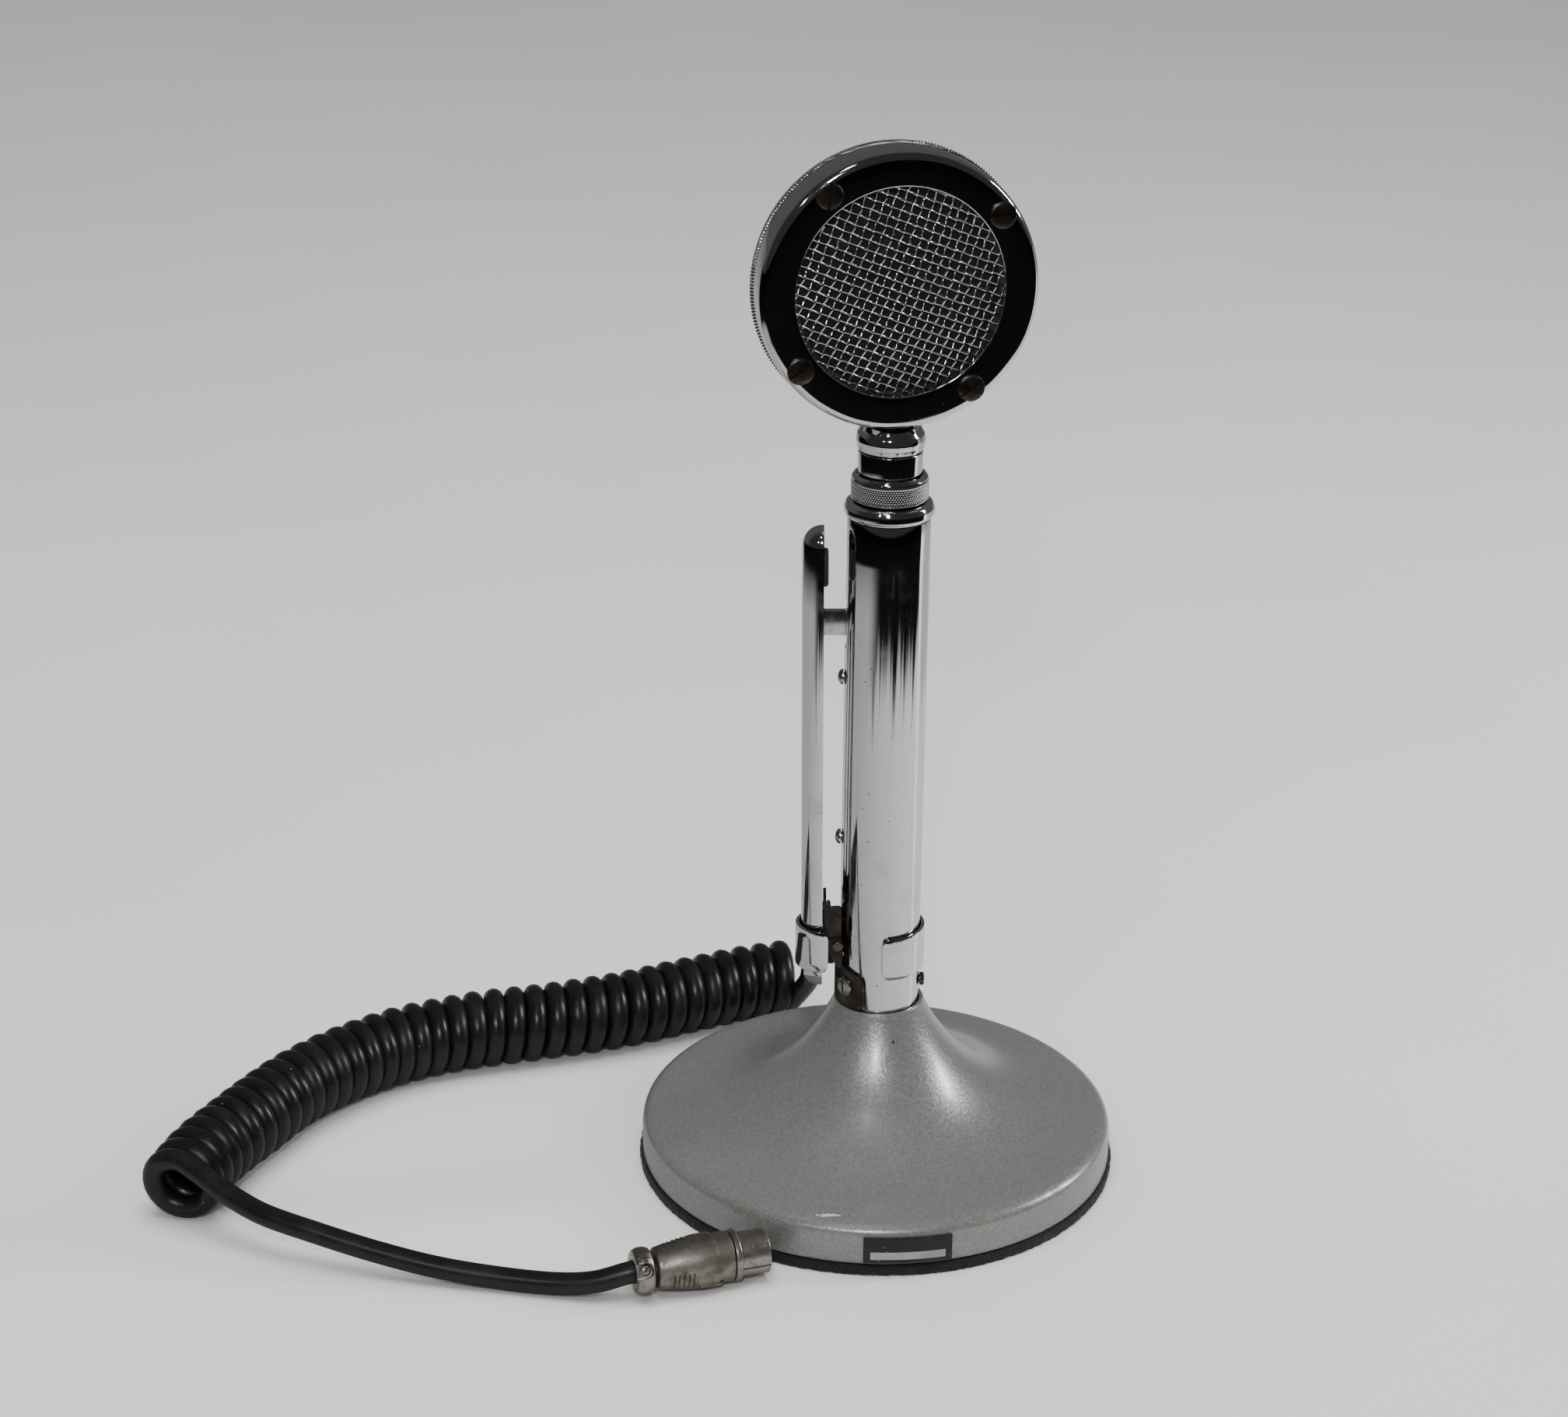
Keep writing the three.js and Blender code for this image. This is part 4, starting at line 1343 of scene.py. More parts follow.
@dataclass
class Lever:
    """The long grip lever, with its bumper, its blade and the yoke that it turns on."""

    axis_x: float = -19.0
    half_x: float = 6.1
    half_y: float = 6.3
    wall: float = 1.2
    bottom: float = 61.6
    top: float = 216.8
    open_x: float = -18.4
    lean: float = -0.5
    yoke_low: float = 71.5
    yoke_high: float = 92.3
    yoke_half: float = 6.2
    toe_x: float = -12.3
    far_fall: float = 7.0

    def leaning(self) -> Matrix:
        """Returns the lever's lean about its pivot."""
        return moved(*PIVOT) @ turned(self.lean, "Y") @ Matrix.Translation(-Vector(PIVOT))

    def build(self) -> None:
        """Builds and dresses everything that moves with the lever."""
        self.channel()
        self.bumper()
        self.blade()
        self.yoke()

    def channel(self) -> None:
        """Makes the half-round channel with its two spoon-shaped ends."""
        low, high = self.bottom + self.half_y, self.top - self.half_y
        lower = [(self.half_y * math.sin(a), low - self.half_y * math.cos(a))
                 for a in (i * math.pi / 24 for i in range(12))]
        upper = [(self.half_y * math.cos(a), high + self.half_y * math.sin(a))
                 for a in (i * math.pi / 24 for i in range(1, 12))]
        rows = [(self.half_y, low + (high - low) * i / 8) for i in range(9)]
        shape = Shape.lathe([(0, self.bottom), *lower[1:], *rows, *upper, (0, self.top)], 96)
        shape.placed(moved(self.axis_x, 0, 0) @ Matrix.Diagonal((self.half_x / self.half_y, 1, 1, 1)))
        bmesh.ops.bisect_plane(shape.bm, geom=[*shape.bm.verts, *shape.bm.edges, *shape.bm.faces],
                               plane_co=(self.open_x, 0, 0), plane_no=(1, 0, 0), clear_outer=True)
        shape.walled(self.wall).eased(0.3, 2, 50).placed(self.leaning())
        shape.finished("grip_channel", Body.LEVER, CHROME, "grip_lever")

    def bumper(self) -> None:
        """Makes the rubber stop near the lever's top."""
        shape = Shape.block((-21.3, -4.35, 198.4), (-17.0, 4.35, 208.5)).eased(0.9, 4)
        shape.placed(self.leaning()).finished("rubber_stop", Body.LEVER, RUBBER, "lever_bumper")

    def blade(self) -> None:
        """Makes the flat blade that goes through the tube's slot."""
        shape = Shape.block((-23.2, -0.8, 181.4), (-8.6, 0.8, 189.8)).eased(0.25, 2)
        shape.placed(self.leaning()).finished("switch_blade", Body.LEVER, BLADE_STEEL, "link_blade")

    def yoke(self) -> None:
        """Makes the folded yoke and its two rivets."""
        web_x = self.open_x + GAP
        shape = Shape.block((web_x, -self.yoke_half, self.yoke_low),
                            (web_x + 1.0, self.yoke_half, self.yoke_high))
        for side, fall in ((-1, 0.6), (1, self.far_fall)):
            outline = [(web_x, self.yoke_low), (self.toe_x - 2.5, self.yoke_low, 1.2),
                       (self.toe_x, self.yoke_low + 3.5, 1.2), (self.toe_x, self.yoke_high - fall, 1.2),
                       (web_x, self.yoke_high - fall - 0.6)]
            shape.with_part(standing_plate(outline, self.yoke_half - 1.0, self.yoke_half, side))
        shape.eased(0.16, 2, 50).placed(self.leaning())
        shape.finished("folded_yoke", Body.LEVER, OLD_BRASS, "lever_yoke")
        for index, height in enumerate((89.3, 81.9), 1):
            rivet = Shape.lathe([(0, -0.1), (1.2, 0.1, 0.4), (1.85, 1.1, 0.3), (1.1, 1.1), (1.1, 5.0),
                                 (0, 5.0)], 32)
            rivet.placed(self.leaning() @ outward(180, height) @ moved(0, 0, -web_x - 2.4))
            rivet.finished(f"rivet_{index}", Body.LEVER, STEEL, f"yoke_rivet_{index}")


# ---- lock slide ----


@dataclass
class LockSlide:
    """The bright band that slides up to hold the lever in."""

    low: float = 69.4
    height: float = 14.2
    sheet: float = 1.2
    tube_radius: float = 13.0
    grip_x: float = -17.6
    grip_radius: float = 8.1
    corner: float = 2.6

    def path(self) -> list[tuple[float, float]]:
        """Returns the outer line of the band, from its end on the tube to its end on the lever.

        Returns:
            The line's points.
        """
        outer_tube = self.tube_radius + self.sheet
        outer_grip = self.grip_radius + self.sheet
        tangent = math.degrees(math.acos((self.tube_radius - self.grip_radius) / -self.grip_x))
        fine = [0.0, 1.2, 2.6, 4.4, 6.8, 10.4]
        first = [-88 + a for a in fine] + [-70 + (250 - tangent) * i / 40 for i in range(41)]
        last = [277 - a * 1.5 for a in reversed(fine)]
        grip_start = 180 - tangent
        second = [grip_start + (last[0] - 4 - grip_start) * i / 34 for i in range(35)] + last
        return ([on_circle(outer_tube, a) for a in first]
                + [(self.grip_x + x, y) for x, y in (on_circle(outer_grip, a) for a in second)])

    def build(self) -> None:
        """Builds and dresses the band."""
        path = self.path()
        rows = [self.low + self.height * share for share in (0, 0.2, 0.5, 0.8, 1)]
        shape = Shape.band(path, rows)
        ends = (Vector(path[0]), Vector(path[-1]))
        middle = self.low + self.height / 2

        def rounded(place: Vector) -> Vector:
            """Returns the point drawn in where the band's end corners are cut round.

            Args:
                place: The point.

            Returns:
                Its new place.
            """
            along = min((place.to_2d() - end).length for end in ends)
            if along >= self.corner:
                return place
            drop = self.corner - math.sqrt(self.corner ** 2 - (self.corner - along) ** 2)
            squeeze = 1 - drop / (self.height / 2)
            return Vector((place.x, place.y, middle + (place.z - middle) * squeeze))

        outward_sheet(shape.shifted(rounded), Vector((-8, 0, 0)))
        shape.walled(self.sheet).eased(0.25, 2, 50)
        shape.finished("lock_band", Body.SLIDE, CHROME, "lock_slide")


# ---- neck ----


@dataclass
class Neck:
    """The knurled coupling ring and the turned neck above it."""

    ring_radius: float = 11.9
    knurl_low: float = 226.75
    knurl_high: float = 232.3
    knurl_count: int = 88
    knurl_depth: float = 0.27
    knurl_lean: float = 0.62
    yaw: float = 12.7
    head_height: float = 292.0
    rim_radius: float = 43.0

    def build(self) -> None:
        """Builds and dresses the ring and the neck."""
        self.ring()
        self.sleeve()
        self.ferrule()
        dressed(BRASS, "neck_plug", "plug_contact")
        dressed(BAKELITE, "plug_insulator")
        dressed(STEEL, "head_stud", "head_nut")

    def ring(self) -> None:
        """Makes the ring with its crossed knurl."""
        count = 28
        band = [(self.ring_radius, self.knurl_low + (self.knurl_high - self.knurl_low) * i / count)
                for i in range(count + 1)]
        shape = Shape.lathe([
            (8.3, 226.1), (11.3, 226.1, 0.2), (11.55, 226.5), *band, (11.6, 232.6), (11.55, 233.3, 0.3),
            (10.7, 234.25, 0.3), (10.0, 234.2), (10.0, 232), (10.7, 232), (10.7, 229.1), (8.3, 229.1),
        ], self.knurl_count * 5)
        rise = self.knurl_count / (2 * math.pi * self.ring_radius) * self.knurl_lean

        def knurled(place: Vector) -> Vector:
            """Returns the point drawn in where a groove of the knurl passes.

            Args:
                place: The point.

            Returns:
                Its new place.
            """
            far = math.hypot(place.x, place.y)
            edge = min(place.z - self.knurl_low, self.knurl_high - place.z)
            if far < self.ring_radius - 0.02 or edge < -0.01:
                return place
            turn = math.atan2(place.y, place.x) / (2 * math.pi) * self.knurl_count
            climb = (place.z - self.knurl_low) * rise
            groove = max(abs((turn + climb) % 1 - 0.5), abs((turn - climb) % 1 - 0.5)) * 2
            depth = self.knurl_depth * groove * min(1.0, 0.3 + edge / 0.5)
            return drawn_in(place, depth)

        shape.shifted(knurled).finished("knurled_ring", Body.RING, CHROME, "coupling_ring", crisp=60)

    def sleeve(self) -> None:
        """Makes the straight neck."""
        shape = Shape.lathe([
            (8.9, 232.1), (9.3, 232.1), (9.3, 234.5), (9.8, 234.9, 0.2), (9.8, 241.4, 0.3), (3.6, 241.4),
            (3.6, 239.6), (8.9, 239.6),
        ], 112)
        shape.finished("neck_tube", Body.HEAD, CHROME, "neck_sleeve")

    def ferrule(self) -> None:
        """Makes the bulged ferrule, cut to the head's round side."""
        shape = Shape.lathe([
            (3.6, 241.7), (9.6, 241.7, 0.3), (10.15, 242.3, 0.3), (10.25, 243.4, 0.5), (10.55, 245.1, 1.2),
            (10.2, 246.9, 1.2), (9.3, 248.3, 1.2), (8.0, 249.7, 1.0), (7.4, 251), (3.6, 251),
        ], 112)
        seat = Shape.lathe([(0, -20), (self.rim_radius, -20), (self.rim_radius, 20), (0, 20)], 128)
        seat.placed(turned(self.yaw, "Z")
                    @ moved(0, 0, self.head_height)
                    @ turned(90, "X"))
        shape.cut_by(seat).finished("neck_cup", Body.HEAD, CHROME, "neck_ferrule")


# ---- head ----


@dataclass
class Head:
    """The round microphone head, built facing +Z and then stood up and turned."""

    yaw: float = 12.7
    height: float = 292.0
    radius: float = 42.2
    opening: float = 31.7
    front: float = 8.6
    back: float = -3.5
    wall: float = 1.2
    screw_circle: float = 37.3
    screw_first: float = 36.3
    rim_radius: float = 42.75
    rim_inner: float = 40.8
    rim_front: float = -3.8
    rim_thick: float = 1.5
    teeth: int = 262
    tooth_depth: float = 0.55
    wire: float = 0.35
    pitch: float = 2.8
    weave_turn: float = 68.4
    dome_rise: float = 3.6
    dome_edge: float = 7.1
    phases: tuple[float, float] = (0.37, 0.18)
    sunk: float = 0.85
    crimp: float = 1.25

    def place(self) -> Matrix:
        """Returns the matrix from the head's own frame to the stand's."""
        return (turned(self.yaw, "Z")
                @ moved(0, 0, self.height) @ turned(90, "X"))

    def dome(self, far: float) -> float:
        """Returns the height of the grille's crown at a distance from its middle."""
        sphere = (self.opening ** 2 + self.dome_rise ** 2) / (2 * self.dome_rise)
        return self.dome_edge + math.sqrt(sphere ** 2 - far ** 2) - (sphere - self.dome_rise)

    def build(self) -> None:
        """Builds and dresses the head."""
        self.bezel()
        self.screws()
        self.weave()
        self.lining()
        self.rim()
        self.back_shell()
        dressed(RUBBER, "grille_gasket")
        dressed(ALUMINIUM, "cartridge_retainer", "cartridge")

    def bezel(self) -> None:
        """Makes the wide front ring with its rounded edge."""
        inner = self.radius - self.wall
        shape = Shape.lathe([
            (inner, self.back), (self.radius, self.back, 0.2), (self.radius, self.front, 2.5),
            (self.opening, self.front, 0.45), (self.opening, self.front - self.wall),
            (inner, self.front - self.wall),
        ], 200)
        shape.placed(self.place()).finished("front_ring", Body.HEAD, BEZEL_CHROME, "head_bezel")

    def screws(self) -> None:
        """Makes the four slotted screws of the front ring."""
        screw = Screw(head=4.05, height=0.95, dome=0.55, shank=1.5, length=6.0, slot_width=0.85)
        for index, turn in enumerate((4, 84, 28, 36)):
            x, y = on_circle(self.screw_circle, self.screw_first + 90 * index)
            shape = screw.shape(turn).placed(self.place() @ moved(x, y, self.front + 0.12))
            shape.finished(f"ring_screw_{index + 1}", Body.HEAD, SCREW_CHROME, f"bezel_screw_{index + 1}")

    def weave(self) -> None:
        """Makes the woven wires over the dome."""
        cable = rods("woven_grille_line", self.wire, 1)
        edge = self.opening + 1.5
        count = int(edge / self.pitch)
        for family in (0, 1):
            for row in range(-count, count + 1):
                self._wire(cable, row, family, edge)
        line = in_scene("woven_grille_line", cable)
        mesh = bpy.data.meshes.new_from_object(line.evaluated_get(bpy.context.evaluated_depsgraph_get()))
        bpy.data.curves.remove(cable)
        shape = Shape().taking(mesh).welded().placed(self.place())
        shape.finished("woven_grille", Body.HEAD, WIRE_CHROME, "grille_mesh", crisp=80)

    def _wire(self, cable: bpy.types.Curve, row: int, family: int, edge: float) -> None:
        """Adds one wire that goes over and under those that cross it.

        Args:
            cable: The curve that the wire is added to.
            row: The wire's number from the middle.
            family: Which of the two sets of wires it is in.
            edge: The radius at which the wire ends.
        """
        across = (row + self.phases[family]) * self.pitch
        if abs(across) > edge - 0.5:
            return
        reach = math.sqrt(edge ** 2 - across ** 2)
        steps = max(6, int(2 * reach / (self.pitch / 5)))
        turn = math.radians(self.weave_turn - 90 * family)
        points = []
        for step in range(steps + 1):
            along = -reach + 2 * reach * step / steps
            sway = noise.noise(Vector((along * 0.12, across * 0.7, family * 9.0))) * 0.22
            x = along * math.cos(turn) - (across + sway) * math.sin(turn)
            y = along * math.sin(turn) + (across + sway) * math.cos(turn)
            if family:
                wave = math.cos(math.pi * (along / self.pitch - self.phases[0]) + math.pi * (row + 1))
            else:
                wave = math.cos(math.pi * (-along / self.pitch) + math.pi * row)
            height = self.dome(min(edge, math.hypot(x, y))) - self.sunk
            points.append((x, y, height + self.crimp * self.wire * wave))
        add_line(cable, points)

    def lining(self) -> None:
        """Makes the dark cloth close behind the wires."""
        rings = [0, 8, 16, 24, self.opening + 0.4]
        shape = Shape.lathe([*((r, self.dome(r) - 2.3) for r in rings),
                             *((r, self.dome(r) - 2.6) for r in reversed(rings))], 72)
        shape.placed(self.place()).finished("grille_lining", Body.HEAD, LINING)

    def rim(self) -> None:
        """Makes the finely serrated ring behind the front ring."""
        back = self.rim_front - self.rim_thick
        shape = Shape.lathe([
            (self.rim_inner, back), (self.rim_radius - 0.2, back), (self.rim_radius, back + 0.3),
            (self.rim_radius, self.rim_front - 0.3), (self.rim_radius - 0.2, self.rim_front),
            (self.rim_inner, self.rim_front),
        ], self.teeth * 4)

        def notched(place: Vector) -> Vector:
            """Returns the point drawn in between two teeth.

            Args:
                place: The point.

            Returns:
                Its new place.
            """
            if math.hypot(place.x, place.y) < self.rim_radius - 0.25:
                return place
            turn = math.atan2(place.y, place.x) * self.teeth
            return drawn_in(place, self.tooth_depth * (0.5 - 0.5 * math.cos(turn)))

        shape.shifted(notched).placed(self.place())
        shape.finished("milled_rim", Body.HEAD, CHROME, "serrated_rim", crisp=70)

    def back_shell(self) -> None:
        """Makes the domed back and its plain medallion."""
        skin = flowing([(14.6, -23.2), (19, -22.4), (24.5, -20.9), (31.5, -18), (36.5, -14.6),
                        (39.2, -11.2), (40.4, -8.6)], 5)
        shape = Shape.lathe([
            (0, -23.2), *skin, (40.5, -7.9, 0.3), (42, -7.5, 0.3), (42, -5.6, 0.2), (39.6, -5.6),
            (37.9, -10.4), (34.5, -14.6), (28, -18.2), (14.2, -21.8), (0, -22),
        ], 176)
        shape.placed(self.place()).finished("back_dome", Body.HEAD, CHROME, "rear_case", crisp=30)
        disc = Shape.lathe([(0, -24.15), (11.6, -24.15, 0.2), (12.0, -24.45, 0.2), (13.2, -24.45, 0.4),
                            (13.6, -23.5), (0, -23.5)], 96)
        disc.placed(self.place()).finished("back_medallion", Body.HEAD, CHROME, "rear_medallion")


# ---- plug ----


@dataclass
class Plug:
    """The round plug, built along +Z from the cord to its open end."""

    rear: Point = (-76.3, -89.5, 8.5)
    bearing: float = 18.8
    clamp_length: float = 7.0
    clamp_radius: float = 7.2
    screw_azimuth: float = -119.0
    seam_azimuth: float = -154.0
    shell_from: float = 7.9
    step_at: float = 26.4
    shell_to: float = 31.6
    belly: float = 8.35
    ring_radius: float = 8.0
    barrel_radius: float = 6.9
    barrel_from: float = 34.4
    barrel_to: float = 43.3
    key_azimuth: float = -84.0
    latch_azimuth: float = -40.0
    latch_from: float = 20.5
    latch_to: float = 27.5
    ribs: int = 5
    rib_from: float = 12.4
    rib_to: float = 19.9
    rib_azimuths: tuple[float, float] = (-68, 142)
    rib_reach: float = 29.0
    rib_depth: float = 0.62

    def place(self) -> Matrix:
        """Returns the matrix from the plug's own frame to the stand's."""
        return (Matrix.Translation(self.rear) @ turned(self.bearing, "Z")
                @ turned(90, "Y"))

    def side(self, azimuth: float, along: float, out: float = 0.0) -> Matrix:
        """Returns a place on the plug's side, with +Z pointing out of it."""
        return (moved(0, 0, along) @ turned(azimuth, "Z")
                @ turned(90, "Y") @ moved(0, 0, out))

    def build(self) -> list[bpy.types.Object]:
        """Builds and dresses the plug.

        Returns:
            The plug's pieces, in order from the cord.
        """
        return [*self.clamp(), self.shell(), self.latch(), *self.front()]

    def clamp(self) -> list[bpy.types.Object]:
        """Makes the split cord clamp and the screw in its pocket.

        Returns:
            The clamp and the screw.
        """
        length, radius = self.clamp_length, self.clamp_radius
        shape = Shape.lathe([
            (3.55, 1.2, 0.2), (5.0, 0.9, 0.8), (6.5, 1.4, 1.2), (radius, 3.0, 1.8), (radius, 4.6, 1.6),
            (6.7, 6.4, 1.0), (5.4, length, 0.4), (3.55, length, 0.2),
        ], 96)
        pocket = Shape.plate([(*on_circle(2.3, a),) for a in range(90, 271, 20)]
                             + [(2.6, -2.3), (2.6, 2.3)], radius - 1.9, radius + 3)
        pocket.placed(self.side(self.screw_azimuth, length / 2 + 0.2))
        seam = Shape.block((radius - 0.5, -0.16, -1), (radius + 1, 0.16, length + 1))
        seam.placed(turned(self.seam_azimuth, "Z"))
        made = shape.cut_by(pocket, seam).eased(0.12, 2, 45).placed(self.place())
        body = made.finished("cord_clamp", Body.STAND, BRIGHT_NICKEL, "plug_clamp")
        screw = Screw(head=1.75, height=1.5, dome=1.1, shank=0.9, length=1.0, slot_width=0.5,
                      slot_depth=0.6)
        spot = self.side(self.screw_azimuth - 3, length / 2 + 0.1, radius - 1.95)
        head = screw.shape(35).placed(self.place() @ spot)
        return [body, head.finished("clamp_screw", Body.STAND, BRIGHT_NICKEL, "plug_clamp_screw")]

    def shell(self) -> bpy.types.Object:
        """Makes the tapered body with its ribbed grips and the latch's opening.

        Returns:
            The body.
        """
        start, step, stop = self.shell_from, self.step_at, self.shell_to
        flank = flowing([(6.35, start + 0.4), (7.2, 12.5), (7.9, 16.5), (self.belly, 21),
                         (self.belly, 24.5), (8.2, step - 0.3)], 12)
        shape = Shape.lathe([
            (3.9, start), (5.95, start, 0.3), *flank, (8.15, step, 0.15), (7.75, step + 0.15),
            (7.75, stop, 0.25), (6.7, stop), (6.7, 12.2), (3.9, 10.2),
        ], 192)
        shape.shifted(self._ribbed)
        room = Shape.block((3, -2.5, self.latch_from - GAP), (12, 2.5, self.latch_to + GAP))
        room.placed(turned(self.latch_azimuth, "Z"))
        shape.cut_by(room).placed(self.place())
        return shape.finished("plug_body", Body.STAND, NICKEL, "plug_shell", crisp=45)

    def _ribbed(self, place: Vector) -> Vector:
        """Returns the point drawn in where a rib's groove passes.

        Args:
            place: The point.

        Returns:
            Its new place.
        """
        azimuth = math.degrees(math.atan2(place.y, place.x))
        off = min(abs((azimuth - middle + 180) % 360 - 180) for middle in self.rib_azimuths)
        length = self.rib_to - self.rib_from
        if (math.hypot(place.x, place.y) < 6.9 or off > self.rib_reach
                or not self.rib_from < place.z < self.rib_to):
            return place
        crest = 0.5 - 0.5 * math.cos((place.z - self.rib_from) / length * 2 * math.pi * self.ribs)
        return drawn_in(place, self.rib_depth * (1 - crest) ** 2 * min(1.0, (self.rib_reach - off) / 3.0))

    def latch(self) -> bpy.types.Object:
        """Makes the small latch button.

        Returns:
            The button.
        """
        shape = Shape.block((self.belly - 1.9, -2.2, self.latch_from),
                            (self.belly + 0.1, 2.2, self.latch_to))
        shape.eased(0.4, 3).placed(self.place() @ turned(self.latch_azimuth, "Z"))
        return shape.finished("latch_button", Body.LATCH, NICKEL, "plug_latch")

    def front(self) -> list[bpy.types.Object]:
        """Makes the raised ring, the open barrel and the insert with its three holes.

        Returns:
            The three pieces.
        """
        ring = Shape.lathe([(6.7, 31.9), (self.ring_radius, 31.9, 0.6), (self.ring_radius, 34.1, 0.7),
                            (6.7, 34.1)], 96)
        made = [ring.placed(self.place()).finished("plug_shoulder", Body.STAND, BRIGHT_NICKEL, "plug_ring")]
        outer = self.barrel_radius
        barrel = Shape.lathe([(outer - 0.9, self.barrel_from), (outer, self.barrel_from),
                              (outer, self.barrel_to, 0.35), (outer - 0.9, self.barrel_to, 0.2)], 96)
        key = Shape.block((outer - 0.45, -1.0, self.barrel_from - 1), (outer + 1, 1.0, self.barrel_to + 1))
        key.placed(turned(self.key_azimuth, "Z"))
        barrel.cut_by(key).placed(self.place())
        made.append(barrel.finished("plug_sleeve", Body.STAND, BRIGHT_NICKEL, "plug_barrel"))
        insert = Shape.lathe([(0, 35), (5.75, 35), (5.75, 42.5, 0.3), (0, 42.5)], 64)
        holes = [Shape.lathe([(0, 36), (1.1, 36), (1.1, 45), (0, 45)], 24).placed(
            moved(*on_circle(3.2, angle), 0)) for angle in (90, 210, 330)]
        insert.cut_by(*holes).placed(self.place())
        made.append(insert.finished("plug_face_insert", Body.STAND, BAKELITE, "plug_insert"))
        return made


# ---- cord ----


@dataclass
class Cord:
    """The curly cord, one line from the tube's back to the plug."""

    radius: float = 3.5
    coil_radius: float = 9.5
    pitch: float = 7.06
    points_per_turn: int = 24
    lead: tuple[Point, ...] = (
        (0, 11.5, 64.5), (0, 14.9, 64.5), (-0.3, 20, 64.6), (-3, 28, 65), (-9, 38, 64), (-14.5, 49, 59),
        (-18, 60, 50), (-20, 70, 38), (-20.8, 77, 28), (-21.6, 83, 20), (-24.2, 88.5, 13),
        (-26.6, 93.8, 7.2),
    )
    axis: tuple[Point, ...] = (
        (-28, 99.3, 13.1), (-43, 94.2, 13.1), (-59.5, 86.5, 13.1), (-86, 73, 13.1), (-112.5, 63.6, 13.1),
        (-139, 55.5, 13.1), (-165, 41.8, 13.1), (-188.5, 18, 13.1), (-204.5, -11, 13.1),
        (-213.8, -31, 13.1), (-219.0, -49, 13.0),
    )
    tail: tuple[Point, ...] = (
        (-213.0, -52.5, 20.9), (-207, -57.0, 19.0), (-200.4, -61.2, 16.6), (-189.8, -67.0, 13.9),
        (-174.7, -72.5, 11.5), (-155.2, -77.8, 8), (-135.7, -82.3, 5.3), (-116.6, -85.6, 3.9),
        (-99, -88.6, 3.9), (-87, -90.4, 5.6), (-76.9, -89.7, 8.4), (-73.0, -88.4, 8.5),
    )

    def coil(self) -> list[Point]:
        """Returns the points of the coil's turns, close-wound and left-handed.

        Returns:
            The points.
        """
        line = [Vector(p) for p in flowing(self.axis, 12)]
        gone = [0.0]
        for before, after in zip(line, line[1:]):
            gone.append(gone[-1] + (after - before).length)
        total = gone[-1]
        turns = int(total / self.pitch) + 0.5
        count = int(turns * self.points_per_turn)
        made: list[Point] = []
        index = 0
        up = Vector((0, 0, 1))
        for step in range(count + 1):
            along = total * step / count
            while index < len(gone) - 2 and gone[index + 1] < along:
                index += 1
            share = (along - gone[index]) / (gone[index + 1] - gone[index])
            middle = line[index].lerp(line[index + 1], share)
            before = line[max(index - 1, 0)]
            after = line[min(index + 2, len(line) - 1)]
            side = up.cross(after - before).normalized()
            turned = 2 * math.pi * (step / self.points_per_turn - turns)
            swell = 1 + 0.02 * noise.noise(Vector((along * 0.05, 3.0, 1.0)))
            spot = middle + (up * math.cos(turned) + side * math.sin(turned)) * self.coil_radius * swell
            made.append(tuple(spot))
        return made

    def build(self, plug: Sequence[bpy.types.Object]) -> None:
        """Args:
            plug: The pieces of the plug at its far end; not used.
        """
        coil = self.coil()
        lead = flowing([*self.lead, coil[0], coil[3]], 8)[:-8]
        tail = flowing([coil[-4], coil[-1], *self.tail], 8)[8:]
        points = [*lead[:-1], *coil, *tail[1:]]
        line = rods("curly_cord", self.radius * MM, 5)
        add_line(line, [tuple(value * MM for value in point) for point in points])
        cord = in_scene("curly_cord", line)
        settled(cord, Body.STAND, CORD_RUBBER, "cord_lead", "cord_coil", "cord_tail")


# ---- studio ----


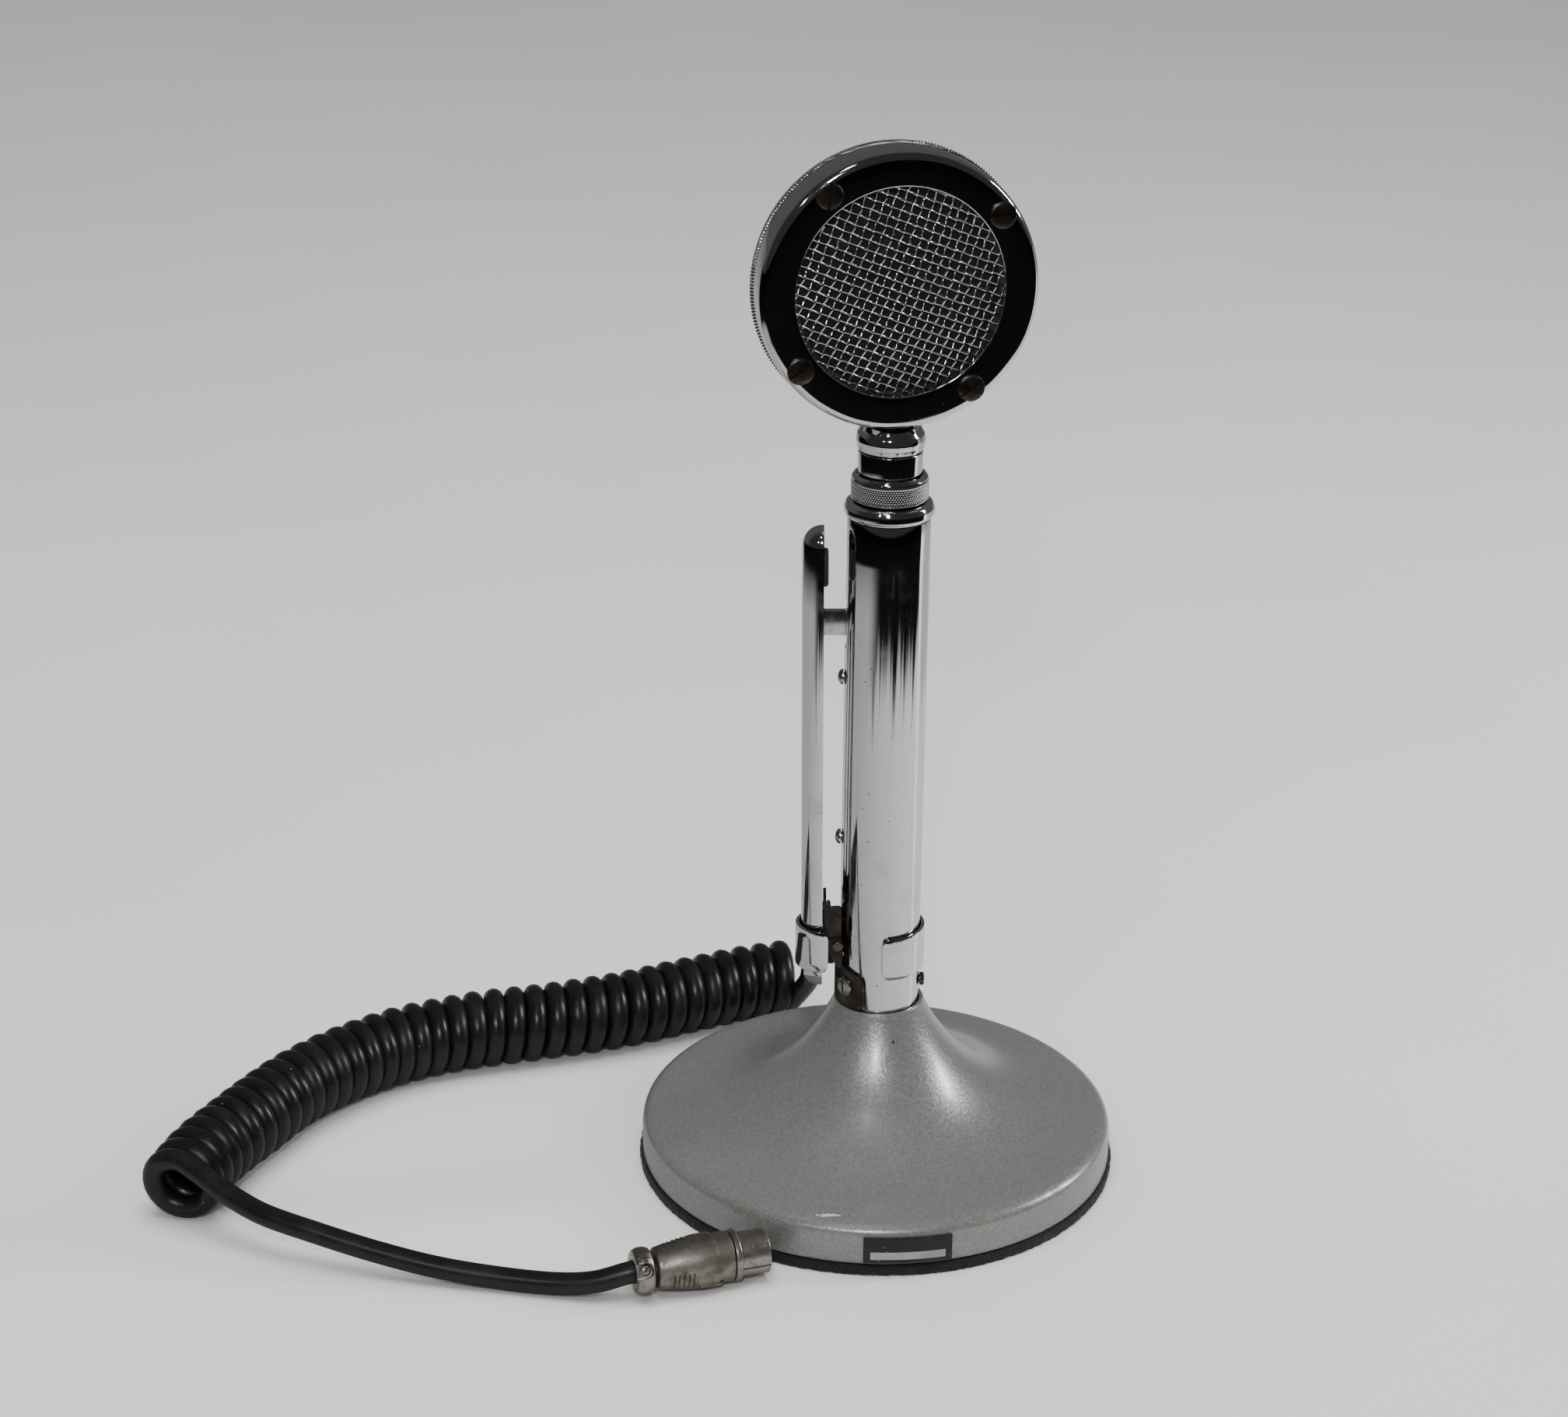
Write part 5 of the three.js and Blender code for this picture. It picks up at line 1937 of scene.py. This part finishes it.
@dataclass
class Studio:
    """The camera, the pale floor and the soft lights."""

    lens: float = 78.57
    camera_at: Point = (-31.25, -979.08, 565.02)
    pitch: float = 22.644
    roll: float = 0.590
    floor_half: float = 7.0

    def camera(self) -> None:
        """Makes the camera."""
        data = bpy.data.cameras.new("view")
        data.lens = self.lens
        data.sensor_width = 36.0
        data.clip_end = 50.0
        camera = in_scene("view", data)
        tilt, roll = math.radians(self.pitch), math.radians(self.roll)
        ahead = Vector((0, math.cos(tilt), -math.sin(tilt)))
        right = Vector((1, 0, 0))
        up = right.cross(ahead)
        across = math.cos(roll) * right + math.sin(roll) * up
        above = -math.sin(roll) * right + math.cos(roll) * up
        turn = Matrix((across, above, -ahead)).transposed().to_4x4()
        camera.matrix_world = Matrix.Translation(Vector(self.camera_at) * MM) @ turn
        bpy.context.scene.camera = camera

    def floor(self) -> None:
        """Makes the pale floor."""
        sheet = Shape()
        bmesh.ops.create_grid(sheet.bm, x_segments=1, y_segments=1, size=self.floor_half)
        made = sheet.as_object("floor")
        sheet.bm.free()
        made.data.materials.append(self._floor_paper())

    def _floor_paper(self) -> bpy.types.Material:
        """Returns the floor's pale paper, whose colour for glossy rays is a painted reflection: a small
        table in a dark room, with a bright strip at the right.

        Returns:
            The paper's material.
        """
        made = bpy.data.materials.new("floor_paper")
        made.use_nodes = True
        graph = Graph(made.node_tree)
        shader = made.node_tree.nodes["Principled BSDF"]
        parts = graph.node("SeparateXYZ", {0: graph.place()})
        across, along = parts.outputs[0], parts.outputs[1]
        far = graph.distance(graph.place())
        bearing = graph.math("ARCTAN2", across, graph.times(along, -1.0))
        streaks = graph.noise(4.0, 2.0, vector=graph.node("CombineXYZ", {0: bearing}).outputs[0])
        edge = graph.plus(far, graph.span(streaks, 0.3, 0.7, -0.07, 0.07))
        # Painted reflection: bright patches that only glossy rays see, a table in front, a strip at the
        # right, and fainter patches behind and at the left.
        table = graph.times(graph.span(edge, 0.48, 0.39, smooth=True),
                           graph.span(bearing, -1.3, 1.4, 0.42, 0.72))
        right = graph.times(graph.span(bearing, 1.66, 1.72, smooth=True),
                           graph.span(bearing, 1.95, 1.84, 0.45, 1.0, smooth=True))
        left = graph.times(graph.span(bearing, -0.35, -1.0, smooth=True),
                          graph.span(far, 0.64, 0.5, smooth=True))
        behind = graph.span(graph.math("ABSOLUTE", bearing), 2.1, 2.6, smooth=True)
        reflected_bright = graph.math("MAXIMUM", table, right)
        reflected_bright = graph.math("MAXIMUM", reflected_bright, graph.times(behind, 0.55))
        reflected_bright = graph.math("MAXIMUM", reflected_bright, graph.times(left, 0.4))
        # Painted reflection: glossy rays see the floor near black outside the bright patches.
        dark = graph.times(graph.node("LightPath").outputs["Is Glossy Ray"],
                          graph.math("SUBTRACT", 1.0, reflected_bright))
        cloud = graph.effect(mottle, Scale=3.0, Detail=3.0, Low=0.3, High=0.7)
        paper = graph.mix(cloud["Mask"], (0.80, 0.79, 0.775), (0.77, 0.76, 0.745))
        graph.feed(shader, {"Base Color": graph.mix(dark, paper, (0.004, 0.004, 0.0045)),
                            "Roughness": 1.0, "Specular IOR Level": 0.0})
        return made

    def lights(self) -> None:
        """Makes the lights and the even light of the room."""
        self._lamp("overhead", (-0.10, -0.15, 1.8), (0, -0.1, 0), (1.5, 1.2), 27.0, shines=False)
        self._lamp("front_key", (-0.10, -1.30, 1.08), (0.0, 0.0, 0.15), (0.13, 0.13), 7.0)
        self._lamp("left_spark", (-0.55, -1.05, 1.00), (0.0, 0.0, 0.20), (0.06, 0.06), 0.8)
        self._lamp("near_spark", (-0.077, -0.238, 0.725), (0.0, 0.0, 0.30), (0.05, 0.05), 0.12)
        self._lamp("right_window", (1.20, 0.25, 0.74), (0.0, 0.0, 0.05), (0.12, 0.45), 8.0)
        self._room()

    def _lamp(self, name: str, at: Point, aim: Point, size: tuple[float, float], power: float,
              shines: bool = True) -> None:
        """Adds one soft lamp that the camera doesn't see.

        Args:
            name: The lamp's name.
            at: Where it hangs, in metres.
            aim: The point that it faces.
            size: Its width and height.
            power: Its strength in watts.
            shines: Whether it shows in bright surfaces.
        """
        data = bpy.data.lights.new(name, "AREA")
        data.shape = "RECTANGLE"
        data.size, data.size_y = size
        data.energy = power
        lamp = in_scene(name, data)
        lamp.location = at
        lamp.rotation_euler = (Vector(at) - Vector(aim)).to_track_quat("Z", "Y").to_euler()
        lamp.visible_camera = False
        lamp.visible_glossy = shines

    def _room(self) -> None:
        """Makes the room: pale to the eye, and dark towards the front in the chrome."""
        world = bpy.data.worlds.new("room")
        world.use_nodes = True
        bpy.context.scene.world = world
        graph = Graph(world.node_tree)
        way = graph.node("TexCoord").outputs["Generated"]
        along = graph.node("SeparateXYZ", {0: way}).outputs[1]
        shade = graph.span(along, -0.25, 0.35, 0.03, 0.09, smooth=True)
        shiny = graph.node("LightPath").outputs["Is Glossy Ray"]
        level = graph.plus(graph.times(shiny, shade),
                           graph.times(graph.math("SUBTRACT", 1.0, shiny), 0.42))
        back = world.node_tree.nodes["Background"]
        graph.feed(back, {"Color": (0.98, 0.99, 1.0, 1.0), "Strength": level})


def main() -> None:
    """Builds the camera and the cord, then each sub-assembly, then the studio."""
    logging.basicConfig(level=logging.INFO, format="%(message)s")
    studio = Studio()
    studio.camera()
    Cord().build(Plug().build())
    for assembly in (Base(), Tube(), Bracket(), Lever(), LockSlide(), Neck(), Head()):
        LOG.info("building %s", type(assembly).__name__)
        assembly.build()
    studio.floor()
    studio.lights()


if __name__ == "__main__":
    main()
